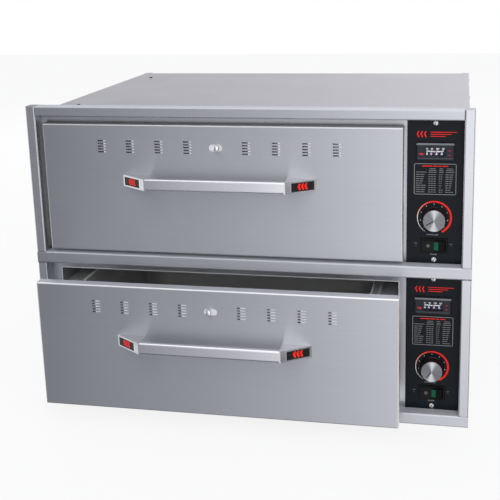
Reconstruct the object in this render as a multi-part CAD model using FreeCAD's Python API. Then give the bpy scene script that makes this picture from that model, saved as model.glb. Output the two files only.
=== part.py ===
import FreeCAD, Part
import math
import os

from FreeCAD import Vector

# Two-drawer food warming cabinet with a flanged front frame.
# Millimetres. +Z is up, +X is to the user's right, and the front looks along -Y.
# The origin is the middle of the base.

# ---------------------------------------------------------------- sizes
# Front frame
FRAME_W = 749.0          # overall width
FRAME_D = 22.5           # depth of the folded frame
FRAME_SHEET = 1.2
FRAME_BEND = 1.3         # inside bend radius
STILE_W = 17.0
TOP_RAIL_H = 17.0
RAIL_H = 20.0            # middle and bottom rails
BEARING_LIP = 6.0        # folded in behind the flange

# Bays, one above the other
BAY_H = 240.0
BAY_COUNT = 2

# Case behind the frame
CASE_DEPTH = 600.0       # face of the frame to the back of the case
SIDE_OVERHANG = 8.5      # frame beyond the case on each side
TOP_OVERHANG = 14.5      # frame above the case
CASE_SHEET = 1.0
SIDE_FLANGE_W = 15.0
COVER_FLANGE_H = 15.0
BASE_FLANGE_H = 13.0
CASE_BEND = 1.0

# Drawer
DRAWER_SIDE_GAP = 10.0   # left stile to the drawer's front
DRAWER_PANEL_GAP = 5.0   # drawer's front to the control panel
DRAWER_H = 222.0
DRAWER_LIFT = 5.5        # bottom of the front above the rail
DRAWER_INSET = 3.0       # face of the front behind the face of the frame
DRAWER_BACK_GAP = 0.8    # back of the closed front to the face panel
DRAWER_SHEET = 1.2
DRAWER_BEND = 1.3
LOWER_OPEN = 70.0        # the lower drawer stands open by this much

# Drawer opening in the face panel
OPENING_LAP = 7.5        # covered by the drawer's front on each side
OPENING_H = 215.0
OPENING_LIFT = 10.0      # above the bottom of the bay

# Heated liner
LINER_SHEET = 1.0
LINER_LIFT = 6.0
LINER_HEADROOM = 11.0    # liner roof below the top of the bay
LINER_D = 545.0

# Food pan, 508 x 381 inside its rim
PAN_SIDE_SPACE = 44.0    # pan to the side of the drawer opening
PAN_D = 381.0
PAN_RIM = 11.0
PAN_DEPTH = 127.0
PAN_SHEET = 1.0
PAN_CORNER = 48.0
PAN_TAPER = 12.0         # each wall leans in by this much

# Carrier that holds the pan
CARRIER_SHEET = 1.2
CARRIER_H = 86.0
CARRIER_CLEAR = 1.5      # pan to carrier
CARRIER_FRONT_SPACE = 8.0
RIM_HEIGHT = 206.0       # top of the carrier above the bottom of the bay
CLOSING_PLATE_GAP = 0.2

# Three-member drawer slides
SLIDE_LENGTH = 455.0
SLIDE_SHEET = 1.8
SLIDE_H = 50.0
SLIDE_GAP = 0.3          # between members
SLIDE_PASS = 0.5         # middle member to the side of the opening
SLIDE_DROP = 38.0        # middle of the slide below the carrier's top
SLIDE_OUTER_W = 22.0
SLIDE_MIDDLE_W = 26.0
SLIDE_INNER_W = 27.0
SLIDE_SETBACK = 6.0      # slide behind the face panel

# Vent slots in the drawer front, and the plate that slides behind them
VENT_GROUPS = 4          # groups on each side of the middle
VENT_ROWS = 5
VENT_SLOT_W = 14.0
VENT_SLOT_H = 2.3
VENT_ROW_PITCH = 4.75
VENT_GROUP_PITCH = 50.0
VENT_FIRST = 43.0        # middle of the drawer to the nearest slot
VENT_DROP = 37.5         # middle row below the top of the front
VENT_PLATE_SHEET = 1.0
VENT_PLATE_H = 34.0
VENT_PLATE_END = 12.0    # plate beyond the last slot
VENT_PLATE_GAP = 0.15
VENT_GUIDE_H = 5.0
VENT_GUIDE_LIP = 3.0
VENT_KNOB_OPEN = 5.0     # knob from the middle when the vents are fully open
VENT_TRAVEL = 14.0
VENT_COVERED = (4.5, 9.3)  # how far each plate covers its slots: upper, lower
VENT_KNOB_R = 5.0
VENT_KNOB_D = 7.0
VENT_NECK_W = 5.0
VENT_WINDOW_H = 12.0
VENT_WINDOW_END = 2.0    # beyond the neck at each end of its travel

# Handle
HANDLE_SPAN = 330.0      # over the feet of the end brackets
GRIP_SPAN = 238.0
HANDLE_H = 19.5
HANDLE_REACH = 31.0
HANDLE_DROP = 86.0       # top of the handle below the top of the front
GRIP_SHEET = 2.0
GRIP_BEND = 1.2
GRIP_RETURN = 7.0
BRACKET_ROUND = 1.5
BADGE_SINK = 0.6
BADGE_L = 41.0
BADGE_H = 15.0
BADGE_SETBACK = 3.6      # from the foot along the sloping face

# Control panel
PANEL_W = 89.0
PANEL_SHEET = 1.5
PANEL_WINDOW_W = 72.0
PANEL_LAP = 13.0         # panel over the face panel, above and below the window
PARTITION_GAP = 6.0      # wall of the control space to the window
CUTOUT_FIT = 0.1         # all round a body in its cut-out
SWITCH_CHAMFER = 0.8

# Thermometer
GAUGE_W = 60.6
GAUGE_H = 29.4
GAUGE_RISE = 186.5       # middle above the bottom of the bay
GAUGE_PROUD = 5.0
GAUGE_CHAMFER = 2.0
GAUGE_BODY_W = 50.0
GAUGE_BODY_H = 27.0
GAUGE_BODY_D = 16.0
GAUGE_WALL = 1.5
GAUGE_WINDOW_W = 33.0
GAUGE_WINDOW_H = 15.0
LENS_T = 0.8
LENS_LAP = 1.5
LENS_SINK = 1.6
NEEDLE_L = 16.0
NEEDLE_W = 0.7
NEEDLE_T = 0.4
NEEDLE_HUB_R = 1.6
NEEDLE_HUB_L = 1.0
CARD_T = 1.0             # dial card behind the needle
NEEDLE_PIVOT_RISE = 9.4  # pivot above the middle of the gauge
NEEDLE_DEPTH = 4.5       # needle behind the face of the bezel

# Thermostat and its knob
DIAL_RISE = 77.5
THERMOSTAT_W = 38.0
THERMOSTAT_H = 44.0
THERMOSTAT_D = 30.0
SPINDLE_HOLE_R = 4.0     # in the panel
SPINDLE_R = 3.0
SPINDLE_CLEAR = 0.05
SPINDLE_GRIP = 14.0      # spindle inside the thermostat
KNOB_GAP = 0.6
KNOB_SKIRT_R = 19.8
KNOB_SKIRT_T = 3.5
KNOB_R = 18.0
KNOB_H = 19.0
CAP_R = 17.3
CAP_T = 2.4
POINTER_W = 1.6
POINTER_L = 13.0
POINTER_EDGE = 3.0       # groove to the rim of the cap
POINTER_SINK = 0.5
POINTER_AT = {"upper": 240.0, "lower": 222.0}  # degrees clockwise from the top

# Rocker switch
SWITCH_RISE = 30.5
SWITCH_W = 43.8
SWITCH_H = 24.8
SWITCH_BEZEL_T = 2.4
SWITCH_BODY_W = 40.8
SWITCH_BODY_H = 21.8
SWITCH_BODY_D = 22.0
SWITCH_POCKET_D = 14.0
ROCKER_W = 36.0
ROCKER_H = 18.4
ROCKER_CLEAR = 0.7
ROCKER_SIDE_CLEAR = 0.3
ROCKER_PROUD = 3.4
ROCKER_SKIRT = 5.0       # rocker below its pivot
ROCKER_KEEL = 4.5        # half the length of its underside
ROCKER_TILT = 8.0        # degrees either side of level
ROCKER_PIN_R = 1.5
ROCKER_PIN_CLEAR = 0.05
ROCKER_PIVOT_SINK = 3.0  # pivot behind the face of the bezel

# Strip heater under the pan
HEATER_FAR_SPACE = 140.0  # end of the strip to the far wall of the liner
HEATER_W = 38.0
HEATER_T = 7.0
HEATER_RISE = 14.0       # underside above the liner floor
HEATER_SETBACK = 180.0   # middle of the strip behind the face panel
FOOT_SHEET = 1.5
FOOT_L = 16.0
FOOT_PLACES = (0.15, 0.85)  # along the strip
TERMINAL_W = 6.3
TERMINAL_T = 0.8
TERMINAL_SPACING = 20.0
TERMINAL_REACH = 10.0    # beyond the liner wall
TERMINAL_CLEAR = 3.0     # to the opening in the liner wall

# Cord gland in the back panel
GLAND_R = 10.0
GLAND_BORE_R = 5.5
GLAND_NUT_R = 14.0
GLAND_NUT_T = 5.0
GLAND_FROM_SIDE = 48.0
GLAND_RISE = 60.0

# Louvre slots in the back panel
LOUVRE_W = 56.0
LOUVRE_H = 4.0
LOUVRE_PITCH = 9.0
LOUVRE_COUNT = 6
LOUVRE_RISES = (0.30, 0.78)  # of the case height

# ---------------------------------------------------------------- derived places
PITCH = BAY_H + RAIL_H
FRAME_H = TOP_RAIL_H + BAY_COUNT * PITCH
BAY_Z = [RAIL_H + i * PITCH for i in range(BAY_COUNT)]
BAY_NAMES = ["lower", "upper"]
OPEN_BY = {"lower": LOWER_OPEN, "upper": 0.0}
COVERED = {"upper": VENT_COVERED[0], "lower": VENT_COVERED[1]}

Y_FRONT = -CASE_DEPTH / 2
Y_BACK = CASE_DEPTH / 2
Y_FACE = Y_FRONT + FRAME_D               # face panel
Y_INSIDE = Y_FACE + FRAME_SHEET          # back of the face panel
BAY_HALF = FRAME_W / 2 - STILE_W         # bay is between the stiles
CASE_HALF = FRAME_W / 2 - SIDE_OVERHANG
CASE_H = FRAME_H - TOP_OVERHANG
COVER_Z = CASE_H - CASE_SHEET            # top of the cover, under the side flanges
Y_REAR_PANEL = Y_BACK - CASE_SHEET       # outside of the back panel
CASE_INSIDE = CASE_HALF - CASE_SHEET - CASE_BEND
Y_LINING = Y_INSIDE + CASE_SHEET           # behind the base's front flange
Y_LINING_BACK = Y_REAR_PANEL - 2 * CASE_SHEET  # in front of its back one
DIVIDER_Z = PITCH + RAIL_H / 2

DRAWER_W = 2 * BAY_HALF - PANEL_W - DRAWER_SIDE_GAP - DRAWER_PANEL_GAP
DRAWER_OFFSET = DRAWER_SIDE_GAP + DRAWER_W / 2 - BAY_HALF  # middle of the drawer
DRAWER_T = FRAME_D - DRAWER_INSET - DRAWER_BACK_GAP
OPENING_HALF = DRAWER_W / 2 - OPENING_LAP
SLIDE_MIDDLE_WEB = OPENING_HALF - SLIDE_PASS
LINER_HALF = SLIDE_MIDDLE_WEB + SLIDE_GAP + SLIDE_SHEET
LINER_RIGHT = DRAWER_OFFSET + LINER_HALF + LINER_SHEET
PANEL_CX = BAY_HALF - PANEL_W / 2
PARTITION_X = PANEL_CX - PANEL_WINDOW_W / 2 - PARTITION_GAP
Y_PANEL = Y_FACE - PANEL_SHEET           # face of the control panel

PAN_W = 2 * (OPENING_HALF - PAN_SIDE_SPACE)
PAN_RIM_HALF = PAN_W / 2 + PAN_RIM
CARRIER_HALF = PAN_RIM_HALF + CARRIER_CLEAR + CARRIER_SHEET
CARRIER_D = CARRIER_FRONT_SPACE + PAN_D + 2 * PAN_RIM + CARRIER_CLEAR + 2 * CARRIER_SHEET


# ---------------------------------------------------------------- helpers
def save(name, *solids):
    """Writes one sub-part, made of one or more separate solids."""
    shape = solids[0] if len(solids) == 1 else Part.makeCompound(list(solids))
    shape.exportStep("parts/%s.step" % name)


def box(x0, x1, y0, y1, z0, z1):
    return Part.makeBox(x1 - x0, y1 - y0, z1 - z0, Vector(x0, y0, z0))


def cylinder_y(radius, x, y0, y1, z):
    """A cylinder along Y, from y0 back to y1."""
    return Part.makeCylinder(radius, y1 - y0, Vector(x, y0, z), Vector(0, 1, 0))


def on_yz(x):
    return lambda u, v: Vector(x, u, v)


def on_xy(z):
    return lambda u, v: Vector(u, v, z)


def on_xz(y):
    return lambda u, v: Vector(u, y, v)


def rounded_outline(points, radii, place, closed=True):
    """A wire through 2-D points, each corner rounded by its own radius."""
    count = len(points)
    corners = []
    for i in range(count):
        corner = Vector(*points[i], 0)
        before = (Vector(*points[i - 1], 0) - corner).normalize()
        after = (Vector(*points[(i + 1) % count], 0) - corner).normalize()
        if radii[i] <= 0:
            corners.append((corner, None, corner))
            continue
        half = before.getAngle(after) / 2
        reach = radii[i] / math.tan(half)
        middle = (before + after).normalize()
        centre = corner + middle * (radii[i] / math.sin(half))
        corners.append((corner + before * reach, centre - middle * radii[i], corner + after * reach))
    edges = []
    for i in range(count):
        start, mid, end = [p and place(p.x, p.y) for p in corners[i]]
        following = place(corners[(i + 1) % count][0].x, corners[(i + 1) % count][0].y)
        if mid:
            edges.append(Part.Arc(start, mid, end).toShape())
        is_last = i == count - 1
        if (following - end).Length > 1e-6 and (closed or not is_last):
            edges.append(Part.makeLine(end, following))
    return Part.Wire(edges)


def folded_sheet(path, sheet, bend, place, along):
    """A sheet folded along an open 2-D path. The path is its outside, and the sheet lies on its left.

    With bend 0 the corners stay sharp.
    """
    normals = []
    for a, b in zip(path, path[1:]):
        length = math.hypot(b[0] - a[0], b[1] - a[1])
        normals.append((-(b[1] - a[1]) / length, (b[0] - a[0]) / length))
    inner = []
    outer_r = []
    inner_r = []
    for i, (u, v) in enumerate(path):
        first = normals[max(i - 1, 0)]
        last = normals[min(i, len(normals) - 1)]
        scale = sheet / (1 + first[0] * last[0] + first[1] * last[1])
        inner.append((u + (first[0] + last[0]) * scale, v + (first[1] + last[1]) * scale))
        turn = first[0] * last[1] - first[1] * last[0]
        around = bend + sheet if bend else 0
        straight = abs(turn) < 1e-6
        outer_r.append(0 if straight else (around if turn > 0 else bend))
        inner_r.append(0 if straight else (bend if turn > 0 else around))
    wire = rounded_outline(path + inner[::-1], outer_r + inner_r[::-1], place)
    return Part.Face(wire).extrude(along)


def edges_at_y(shape, y):
    """The edges of a shape's front face, which lies at y."""
    return [edge for edge in shape.Edges if edge.BoundBox.YMax < y + 0.01]


def rounded_rectangle(u0, u1, v0, v1, radius, place):
    return rounded_outline([(u0, v0), (u1, v0), (u1, v1), (u0, v1)], [radius] * 4, place)


# ---------------------------------------------------------------- front frame
def channel_rail(low, high, half):
    """A channel across the front, open at the back."""
    path = [(Y_FACE, high), (Y_FRONT, high), (Y_FRONT, low), (Y_FACE, low)]
    return folded_sheet(path, FRAME_SHEET, FRAME_BEND, on_yz(-half), Vector(2 * half, 0, 0))


def wide_rail(low, high):
    """A rail over the full width, with closed ends and a bearing lip behind each."""
    half = FRAME_W / 2
    outline = [(Y_FACE, low), (Y_FRONT, low), (Y_FRONT, high), (Y_FACE, high)]
    radii = [0, FRAME_BEND + FRAME_SHEET, FRAME_BEND + FRAME_SHEET, 0]
    parts = []
    for side in (-1, 1):
        x0, x1 = sorted((side * (half - FRAME_SHEET), side * half))
        parts.append(Part.Face(rounded_outline(outline, radii, on_yz(x0))).extrude(Vector(x1 - x0, 0, 0)))
        x0, x1 = sorted((side * (half - BEARING_LIP), side * half))
        parts.append(box(x0, x1, Y_FACE - FRAME_SHEET, Y_FACE, low, high))
    return channel_rail(low, high, half).fuse(parts).removeSplitter()


def top_rail():
    """The rail between the tops of the stiles, with its bearing lip."""
    rail = channel_rail(FRAME_H - TOP_RAIL_H, FRAME_H, BAY_HALF)
    lip = box(-BAY_HALF, BAY_HALF, Y_FACE - FRAME_SHEET, Y_FACE, FRAME_H - BEARING_LIP, FRAME_H)
    return rail.fuse(lip).removeSplitter()


def frame_stile(side, low, high, cap=False):
    """An upright of the frame. Its outer edge has a bearing lip that lies on the counter."""
    outer = FRAME_W / 2
    inner = BAY_HALF
    path = [(inner, Y_FACE), (inner, Y_FRONT), (outer, Y_FRONT), (outer, Y_FACE)]
    stile = folded_sheet(path, FRAME_SHEET, FRAME_BEND, on_xy(low), Vector(0, 0, high - low))
    stile = stile.fuse(box(outer - BEARING_LIP, outer, Y_FACE - FRAME_SHEET, Y_FACE, low, high))
    if cap:
        outline = [(outer, Y_FACE), (inner, Y_FACE), (inner, Y_FRONT), (outer, Y_FRONT)]
        radii = [0, 0, FRAME_BEND + FRAME_SHEET, FRAME_BEND + FRAME_SHEET]
        top = Part.Face(rounded_outline(outline, radii, on_xy(high - FRAME_SHEET)))
        stile = stile.fuse(top.extrude(Vector(0, 0, FRAME_SHEET)))
    stile = stile.removeSplitter()
    if side < 0:
        stile = stile.mirror(Vector(0, 0, 0), Vector(1, 0, 0))
    return stile


def make_frame():
    save("frame_bottom_rail", wide_rail(0.0, RAIL_H))
    save("frame_middle_rail", wide_rail(PITCH, PITCH + RAIL_H))
    save("frame_top_rail", top_rail())
    for side, word in ((-1, "left"), (1, "right")):
        save("stile_lower_" + word, frame_stile(side, RAIL_H, PITCH))
        save("stile_upper_" + word, frame_stile(side, PITCH + RAIL_H, FRAME_H, cap=True))


def face_panel(bay):
    """Recessed panel of one bay, with the drawer opening and the window behind the controls."""
    floor = BAY_Z[bay]
    low = floor - RAIL_H / 2 if bay else 0.0
    high = CASE_H if bay == BAY_COUNT - 1 else floor + BAY_H + RAIL_H / 2
    opening = box(DRAWER_OFFSET - OPENING_HALF, DRAWER_OFFSET + OPENING_HALF, Y_FACE - 1, Y_INSIDE + 1,
                  floor + OPENING_LIFT, floor + OPENING_LIFT + OPENING_H)
    window = block_at(PANEL_WINDOW_W, BAY_H - 2 * PANEL_LAP, floor + BAY_H / 2, Y_FACE - 1, Y_INSIDE + 1)
    return box(-CASE_HALF, CASE_HALF, Y_FACE, Y_INSIDE, low, high).cut([opening, window])


# ---------------------------------------------------------------- case
def side_panel(side):
    """Side of the case, folded in over the cover."""
    path = [(CASE_HALF, 0.0), (CASE_HALF, CASE_H), (CASE_HALF - SIDE_FLANGE_W, CASE_H)]
    panel = folded_sheet(path, CASE_SHEET, CASE_BEND, on_xz(Y_INSIDE), Vector(0, Y_BACK - Y_INSIDE, 0))
    if side < 0:
        panel = panel.mirror(Vector(0, 0, 0), Vector(1, 0, 0))
    return panel


def top_cover():
    """Cover under the side flanges, folded down behind the back panel."""
    half = CASE_INSIDE
    path = [(Y_BACK, COVER_Z - COVER_FLANGE_H), (Y_BACK, COVER_Z), (Y_INSIDE, COVER_Z)]
    return folded_sheet(path, CASE_SHEET, CASE_BEND, on_yz(-half), Vector(2 * half, 0, 0))


def base_panel():
    """Base between the sides, folded up at the front and the back."""
    half = CASE_HALF - CASE_SHEET
    back = Y_REAR_PANEL - CASE_SHEET
    path = [(Y_INSIDE, BASE_FLANGE_H), (Y_INSIDE, 0.0), (back, 0.0), (back, BASE_FLANGE_H)]
    return folded_sheet(path, CASE_SHEET, 0, on_yz(-half), Vector(2 * half, 0, 0))


def back_panel():
    """Back of the case, with louvre slots for the control space and the hole for the cord gland."""
    half = CASE_INSIDE
    y0 = Y_REAR_PANEL - CASE_SHEET
    panel = box(-half, half, y0, Y_REAR_PANEL, 0.0, COVER_Z - CASE_SHEET - CASE_BEND)
    cuts = [cylinder_y(GLAND_R, gland_x(), y0 - 1, Y_REAR_PANEL + 1, GLAND_RISE)]
    for rise in LOUVRE_RISES:
        for i in range(LOUVRE_COUNT):
            z = CASE_H * rise + (i - (LOUVRE_COUNT - 1) / 2) * LOUVRE_PITCH
            x = (PARTITION_X + CASE_HALF) / 2
            cuts.append(box(x - LOUVRE_W / 2, x + LOUVRE_W / 2, y0 - 1, Y_REAR_PANEL + 1,
                            z - LOUVRE_H / 2, z + LOUVRE_H / 2))
    return panel.cut(cuts)


def gland_x():
    return CASE_HALF - GLAND_FROM_SIDE


def hexagon(x, y0, y1, z):
    """A hexagonal nut along Y."""
    angles = [math.radians(60 * i) for i in range(6)]
    points = [(x + GLAND_NUT_R * math.cos(a), z + GLAND_NUT_R * math.sin(a)) for a in angles]
    return Part.Face(rounded_outline(points, [0] * 6, on_xz(y0))).extrude(Vector(0, y1 - y0, 0))


def cord_gland():
    """Bushing for the supply cord: a body through the back panel between two hexagonal nuts."""
    x = gland_x()
    inside = Y_REAR_PANEL - CASE_SHEET
    body = cylinder_y(GLAND_R, x, inside, Y_REAR_PANEL, GLAND_RISE)
    nuts = [hexagon(x, Y_REAR_PANEL, Y_BACK, GLAND_RISE),
            hexagon(x, inside - GLAND_NUT_T, inside, GLAND_RISE)]
    bore = cylinder_y(GLAND_BORE_R, x, inside - GLAND_NUT_T - 1, Y_BACK + 1, GLAND_RISE)
    return body.fuse(nuts).cut(bore)


def divider():
    """Floor between the bays."""
    return box(-CASE_HALF + CASE_SHEET, PARTITION_X, Y_INSIDE, Y_REAR_PANEL - CASE_SHEET,
               DIVIDER_Z - CASE_SHEET, DIVIDER_Z)


def control_partition():
    """Wall between the heated bays and the control space."""
    return box(PARTITION_X, PARTITION_X + CASE_SHEET, Y_LINING, Y_LINING_BACK,
               CASE_SHEET, COVER_Z - CASE_SHEET)


# ---------------------------------------------------------------- heated bay
def liner_box(bay, grow):
    """The liner's inside, made larger all round by grow, open at the front."""
    floor = BAY_Z[bay]
    return box(DRAWER_OFFSET - LINER_HALF - grow, DRAWER_OFFSET + LINER_HALF + grow,
               Y_INSIDE, Y_INSIDE + LINER_D + grow,
               floor + LINER_LIFT - grow, floor + BAY_H - LINER_HEADROOM + grow)


def heater_place(bay):
    """Depth of the strip's middle and height of its underside."""
    return Y_FACE + HEATER_SETBACK, BAY_Z[bay] + LINER_LIFT + HEATER_RISE


def terminal_opening(bay):
    """Cut for the heater's terminals through the liner wall and the blanket."""
    y, z = heater_place(bay)
    half = (TERMINAL_SPACING + TERMINAL_W) / 2 + TERMINAL_CLEAR
    return box(LINER_RIGHT - 2 * LINER_SHEET, PARTITION_X, y - half, y + half,
               z - TERMINAL_CLEAR, z + TERMINAL_T + TERMINAL_CLEAR)


def liner(bay):
    """Heated box round the drawer, open at the front."""
    return liner_box(bay, LINER_SHEET).cut([liner_box(bay, 0), terminal_opening(bay)])


def insulation(bay):
    """Blanket that fills the space round the liner."""
    low = CASE_SHEET if bay == 0 else DIVIDER_Z
    high = DIVIDER_Z - CASE_SHEET if bay == 0 else COVER_Z - CASE_SHEET
    outer = box(-CASE_INSIDE, PARTITION_X, Y_LINING, Y_LINING_BACK, low, high)
    return outer.cut([liner_box(bay, LINER_SHEET), terminal_opening(bay)])


def heater(bay):
    """Sheathed strip on two folded feet, its two terminal tabs through the liner wall."""
    y, z = heater_place(bay)
    wall = DRAWER_OFFSET + LINER_HALF
    end = wall - HEATER_W / 2
    start = DRAWER_OFFSET - LINER_HALF + HEATER_FAR_SPACE
    strip = box(start, end, y - HEATER_W / 2, y + HEATER_W / 2, z, z + HEATER_T)
    parts = []
    for place in FOOT_PLACES:
        x = start + place * (end - start)
        path = [(x + FOOT_L, z - HEATER_RISE), (x, z - HEATER_RISE), (x, z), (x - FOOT_L, z)]
        parts.append(folded_sheet(path[::-1], FOOT_SHEET, 0, on_xz(y - HEATER_W / 2), Vector(0, HEATER_W, 0)))
    tip = wall + LINER_SHEET + TERMINAL_REACH
    for side in (-1, 1):
        near = y + side * TERMINAL_SPACING / 2 - TERMINAL_W / 2
        parts.append(box(end, tip, near, near + TERMINAL_W, z, z + TERMINAL_T))
    return strip.fuse(parts).removeSplitter()


# ---------------------------------------------------------------- drawer slides
def slide_middle_z(bay):
    return BAY_Z[bay] + RIM_HEIGHT - SLIDE_DROP


def channel_member(x_web, x_open, half, y0, y1, z):
    """A channel along Y with its web at x_web and its open side at x_open."""
    path = [(x_open, z - half), (x_web, z - half), (x_web, z + half), (x_open, z + half)]
    if x_open > x_web:
        path = path[::-1]
    return folded_sheet(path, SLIDE_SHEET, 0, on_xz(y0), Vector(0, y1 - y0, 0))


def slide_member(bay, side, web, reach, shrink, y0, faces_out=False):
    """One member: web and reach are distances from the middle of the drawer."""
    x_web = DRAWER_OFFSET + side * web
    x_open = DRAWER_OFFSET + side * (web + reach if faces_out else web - reach)
    half = SLIDE_H / 2 - shrink * (SLIDE_SHEET + SLIDE_GAP)
    return channel_member(x_web, x_open, half, y0, y0 + SLIDE_LENGTH, slide_middle_z(bay))


def make_slides(bay, name):
    """Fixed, middle and drawer members. The middle member moves half as far as the drawer."""
    y0 = Y_INSIDE + SLIDE_SETBACK
    shift = OPEN_BY[name]
    save("slide_fixed_" + name,
         *[slide_member(bay, s, LINER_HALF, SLIDE_OUTER_W, 0, y0) for s in (-1, 1)])
    save("slide_middle_" + name,
         *[slide_member(bay, s, SLIDE_MIDDLE_WEB, SLIDE_MIDDLE_W, 1, y0 - shift / 2) for s in (-1, 1)])
    save("slide_drawer_" + name,
         *[slide_member(bay, s, CARRIER_HALF, SLIDE_INNER_W, 2, y0 - shift, True) for s in (-1, 1)])


# ---------------------------------------------------------------- drawer
def drawer_face(name):
    """Y of the drawer's face."""
    return Y_FRONT + DRAWER_INSET - OPEN_BY[name]


def vent_cuts(y0, y1, shift, rows, height):
    """Cutting blocks for the groups of vents on both sides of the middle, moved sideways by shift."""
    blocks = []
    for side in (-1, 1):
        for group in range(VENT_GROUPS):
            near = VENT_FIRST + group * VENT_GROUP_PITCH
            x0, x1 = sorted((side * near, side * (near + VENT_SLOT_W)))
            for z in rows:
                blocks.append(box(DRAWER_OFFSET + x0 + shift, DRAWER_OFFSET + x1 + shift, y0, y1,
                                  z - height / 2, z + height / 2))
    return blocks


def vent_half_length():
    return VENT_FIRST + (VENT_GROUPS - 1) * VENT_GROUP_PITCH + VENT_SLOT_W + VENT_PLATE_END


def drawer_front(bay, name):
    """Box-folded front with vent slots, the knob's window and the guides of the vent plate."""
    y = drawer_face(name)
    low = BAY_Z[bay] + DRAWER_LIFT
    top = low + DRAWER_H
    x0 = DRAWER_OFFSET - DRAWER_W / 2
    x1 = DRAWER_OFFSET + DRAWER_W / 2
    shell = box(x0, x1, y, y + DRAWER_T, low, top)
    shell = shell.makeFillet(DRAWER_BEND + DRAWER_SHEET, edges_at_y(shell, y))
    s = DRAWER_SHEET
    hollow = box(x0 + s, x1 - s, y + s, y + DRAWER_T + 1, low + s, top - s)
    hollow = hollow.makeFillet(DRAWER_BEND, edges_at_y(hollow, y + s))
    middle = top - VENT_DROP
    rows = [middle + (row - (VENT_ROWS - 1) / 2) * VENT_ROW_PITCH for row in range(VENT_ROWS)]
    cuts = vent_cuts(y - 1, y + s + 1, 0, rows, VENT_SLOT_H) + [hollow, vent_window(y, top)]
    front = shell.cut(cuts)
    return front.fuse(vent_guides(y + s, top)).removeSplitter()


def vent_knob_x(name):
    return DRAWER_OFFSET + VENT_KNOB_OPEN - COVERED[name]


def vent_window(y, top):
    """Round-ended cut for the neck of the vent knob, as long as its travel."""
    x = DRAWER_OFFSET + VENT_KNOB_OPEN - VENT_TRAVEL / 2
    half = (VENT_TRAVEL + VENT_NECK_W) / 2 + VENT_WINDOW_END
    z = top - VENT_DROP
    rise = VENT_WINDOW_H / 2
    outline = rounded_rectangle(x - half, x + half, z - rise, z + rise, rise, on_xz(y - 1))
    return Part.Face(outline).extrude(Vector(0, DRAWER_SHEET + 2, 0))


def vent_guides(y, top):
    """Two folded guides on the back of the front that hold the vent plate by its long edges."""
    half = vent_half_length()
    guides = []
    for side in (-1, 1):
        edge = VENT_PLATE_H / 2 + VENT_PLATE_GAP
        z = top - VENT_DROP
        step = VENT_PLATE_SHEET + 2 * VENT_PLATE_GAP
        foot_z = sorted((z + side * edge, z + side * (edge + VENT_GUIDE_H)))
        lip_z = sorted((z + side * (edge - VENT_GUIDE_LIP), z + side * (edge + VENT_GUIDE_H)))
        x0 = DRAWER_OFFSET - half
        x1 = DRAWER_OFFSET + half
        foot = box(x0, x1, y, y + step, *foot_z)
        lip = box(x0, x1, y + step, y + step + VENT_PLATE_SHEET, *lip_z)
        guides.append(foot.fuse(lip))
    return guides


def vent_plate(bay, name):
    """Plate that slides behind the front, with one window for each group of slots."""
    y = drawer_face(name) + DRAWER_SHEET + VENT_PLATE_GAP
    top = BAY_Z[bay] + DRAWER_LIFT + DRAWER_H
    half = vent_half_length() - VENT_TRAVEL
    shift = -COVERED[name]
    z = top - VENT_DROP
    x = DRAWER_OFFSET + shift
    plate = box(x - half - VENT_PLATE_END, x + half + VENT_PLATE_END, y, y + VENT_PLATE_SHEET,
                z - VENT_PLATE_H / 2, z + VENT_PLATE_H / 2)
    window_h = (VENT_ROWS - 1) * VENT_ROW_PITCH + 2 * VENT_SLOT_H
    return plate.cut(vent_cuts(y - 1, y + VENT_PLATE_SHEET + 1, shift, [z], window_h))


def vent_knob(bay, name):
    """Round knob whose square neck runs in the window of the front and stands on the vent plate."""
    x = vent_knob_x(name)
    z = BAY_Z[bay] + DRAWER_LIFT + DRAWER_H - VENT_DROP
    under = drawer_face(name) - KNOB_GAP
    half = VENT_NECK_W / 2
    plate = drawer_face(name) + DRAWER_SHEET + VENT_PLATE_GAP
    neck = box(x - half, x + half, under, plate, z - half, z + half)
    return neck.fuse(cylinder_y(VENT_KNOB_R, x, under - VENT_KNOB_D, under, z))


def drawer_carrier(bay, name):
    """Plate that closes the front, with the flanged ring behind it that carries the pan."""
    back = drawer_face(name) + DRAWER_T
    low = BAY_Z[bay] + DRAWER_LIFT
    top = low + DRAWER_H
    inset = DRAWER_SHEET + CLOSING_PLATE_GAP
    half = DRAWER_W / 2 - inset
    plate = box(DRAWER_OFFSET - half, DRAWER_OFFSET + half, back - CARRIER_SHEET, back,
                low + inset, top - inset)
    windows = []
    for side in (-1, 1):
        x0, x1 = sorted((side * (VENT_FIRST - VENT_PLATE_END), side * vent_half_length()))
        windows.append(box(DRAWER_OFFSET + x0, DRAWER_OFFSET + x1, back - CARRIER_SHEET - 1, back + 1,
                           top - VENT_DROP - VENT_PLATE_H / 2, top - inset - 2 * VENT_GUIDE_H))
    plate = plate.cut(windows)
    rim = BAY_Z[bay] + RIM_HEIGHT
    ring = carrier_ring(back, rim)
    return plate.fuse(ring).removeSplitter()


def carrier_ring(y, rim):
    """Four walls with a flange turned in along their top."""
    s = CARRIER_SHEET
    flange = CARRIER_HALF - PAN_W / 2 - PAN_SHEET - CARRIER_CLEAR
    x0 = DRAWER_OFFSET - CARRIER_HALF
    x1 = DRAWER_OFFSET + CARRIER_HALF
    y1 = y + CARRIER_D
    front_flange = flange + CARRIER_FRONT_SPACE - CARRIER_CLEAR
    walls = box(x0, x1, y, y1, rim - CARRIER_H, rim)
    inside = box(x0 + s, x1 - s, y + s, y1 - s, rim - CARRIER_H - 1, rim - s)
    throat = box(x0 + flange, x1 - flange, y + front_flange, y1 - flange, rim - s - 1, rim + 1)
    return walls.cut([inside, throat])


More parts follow.
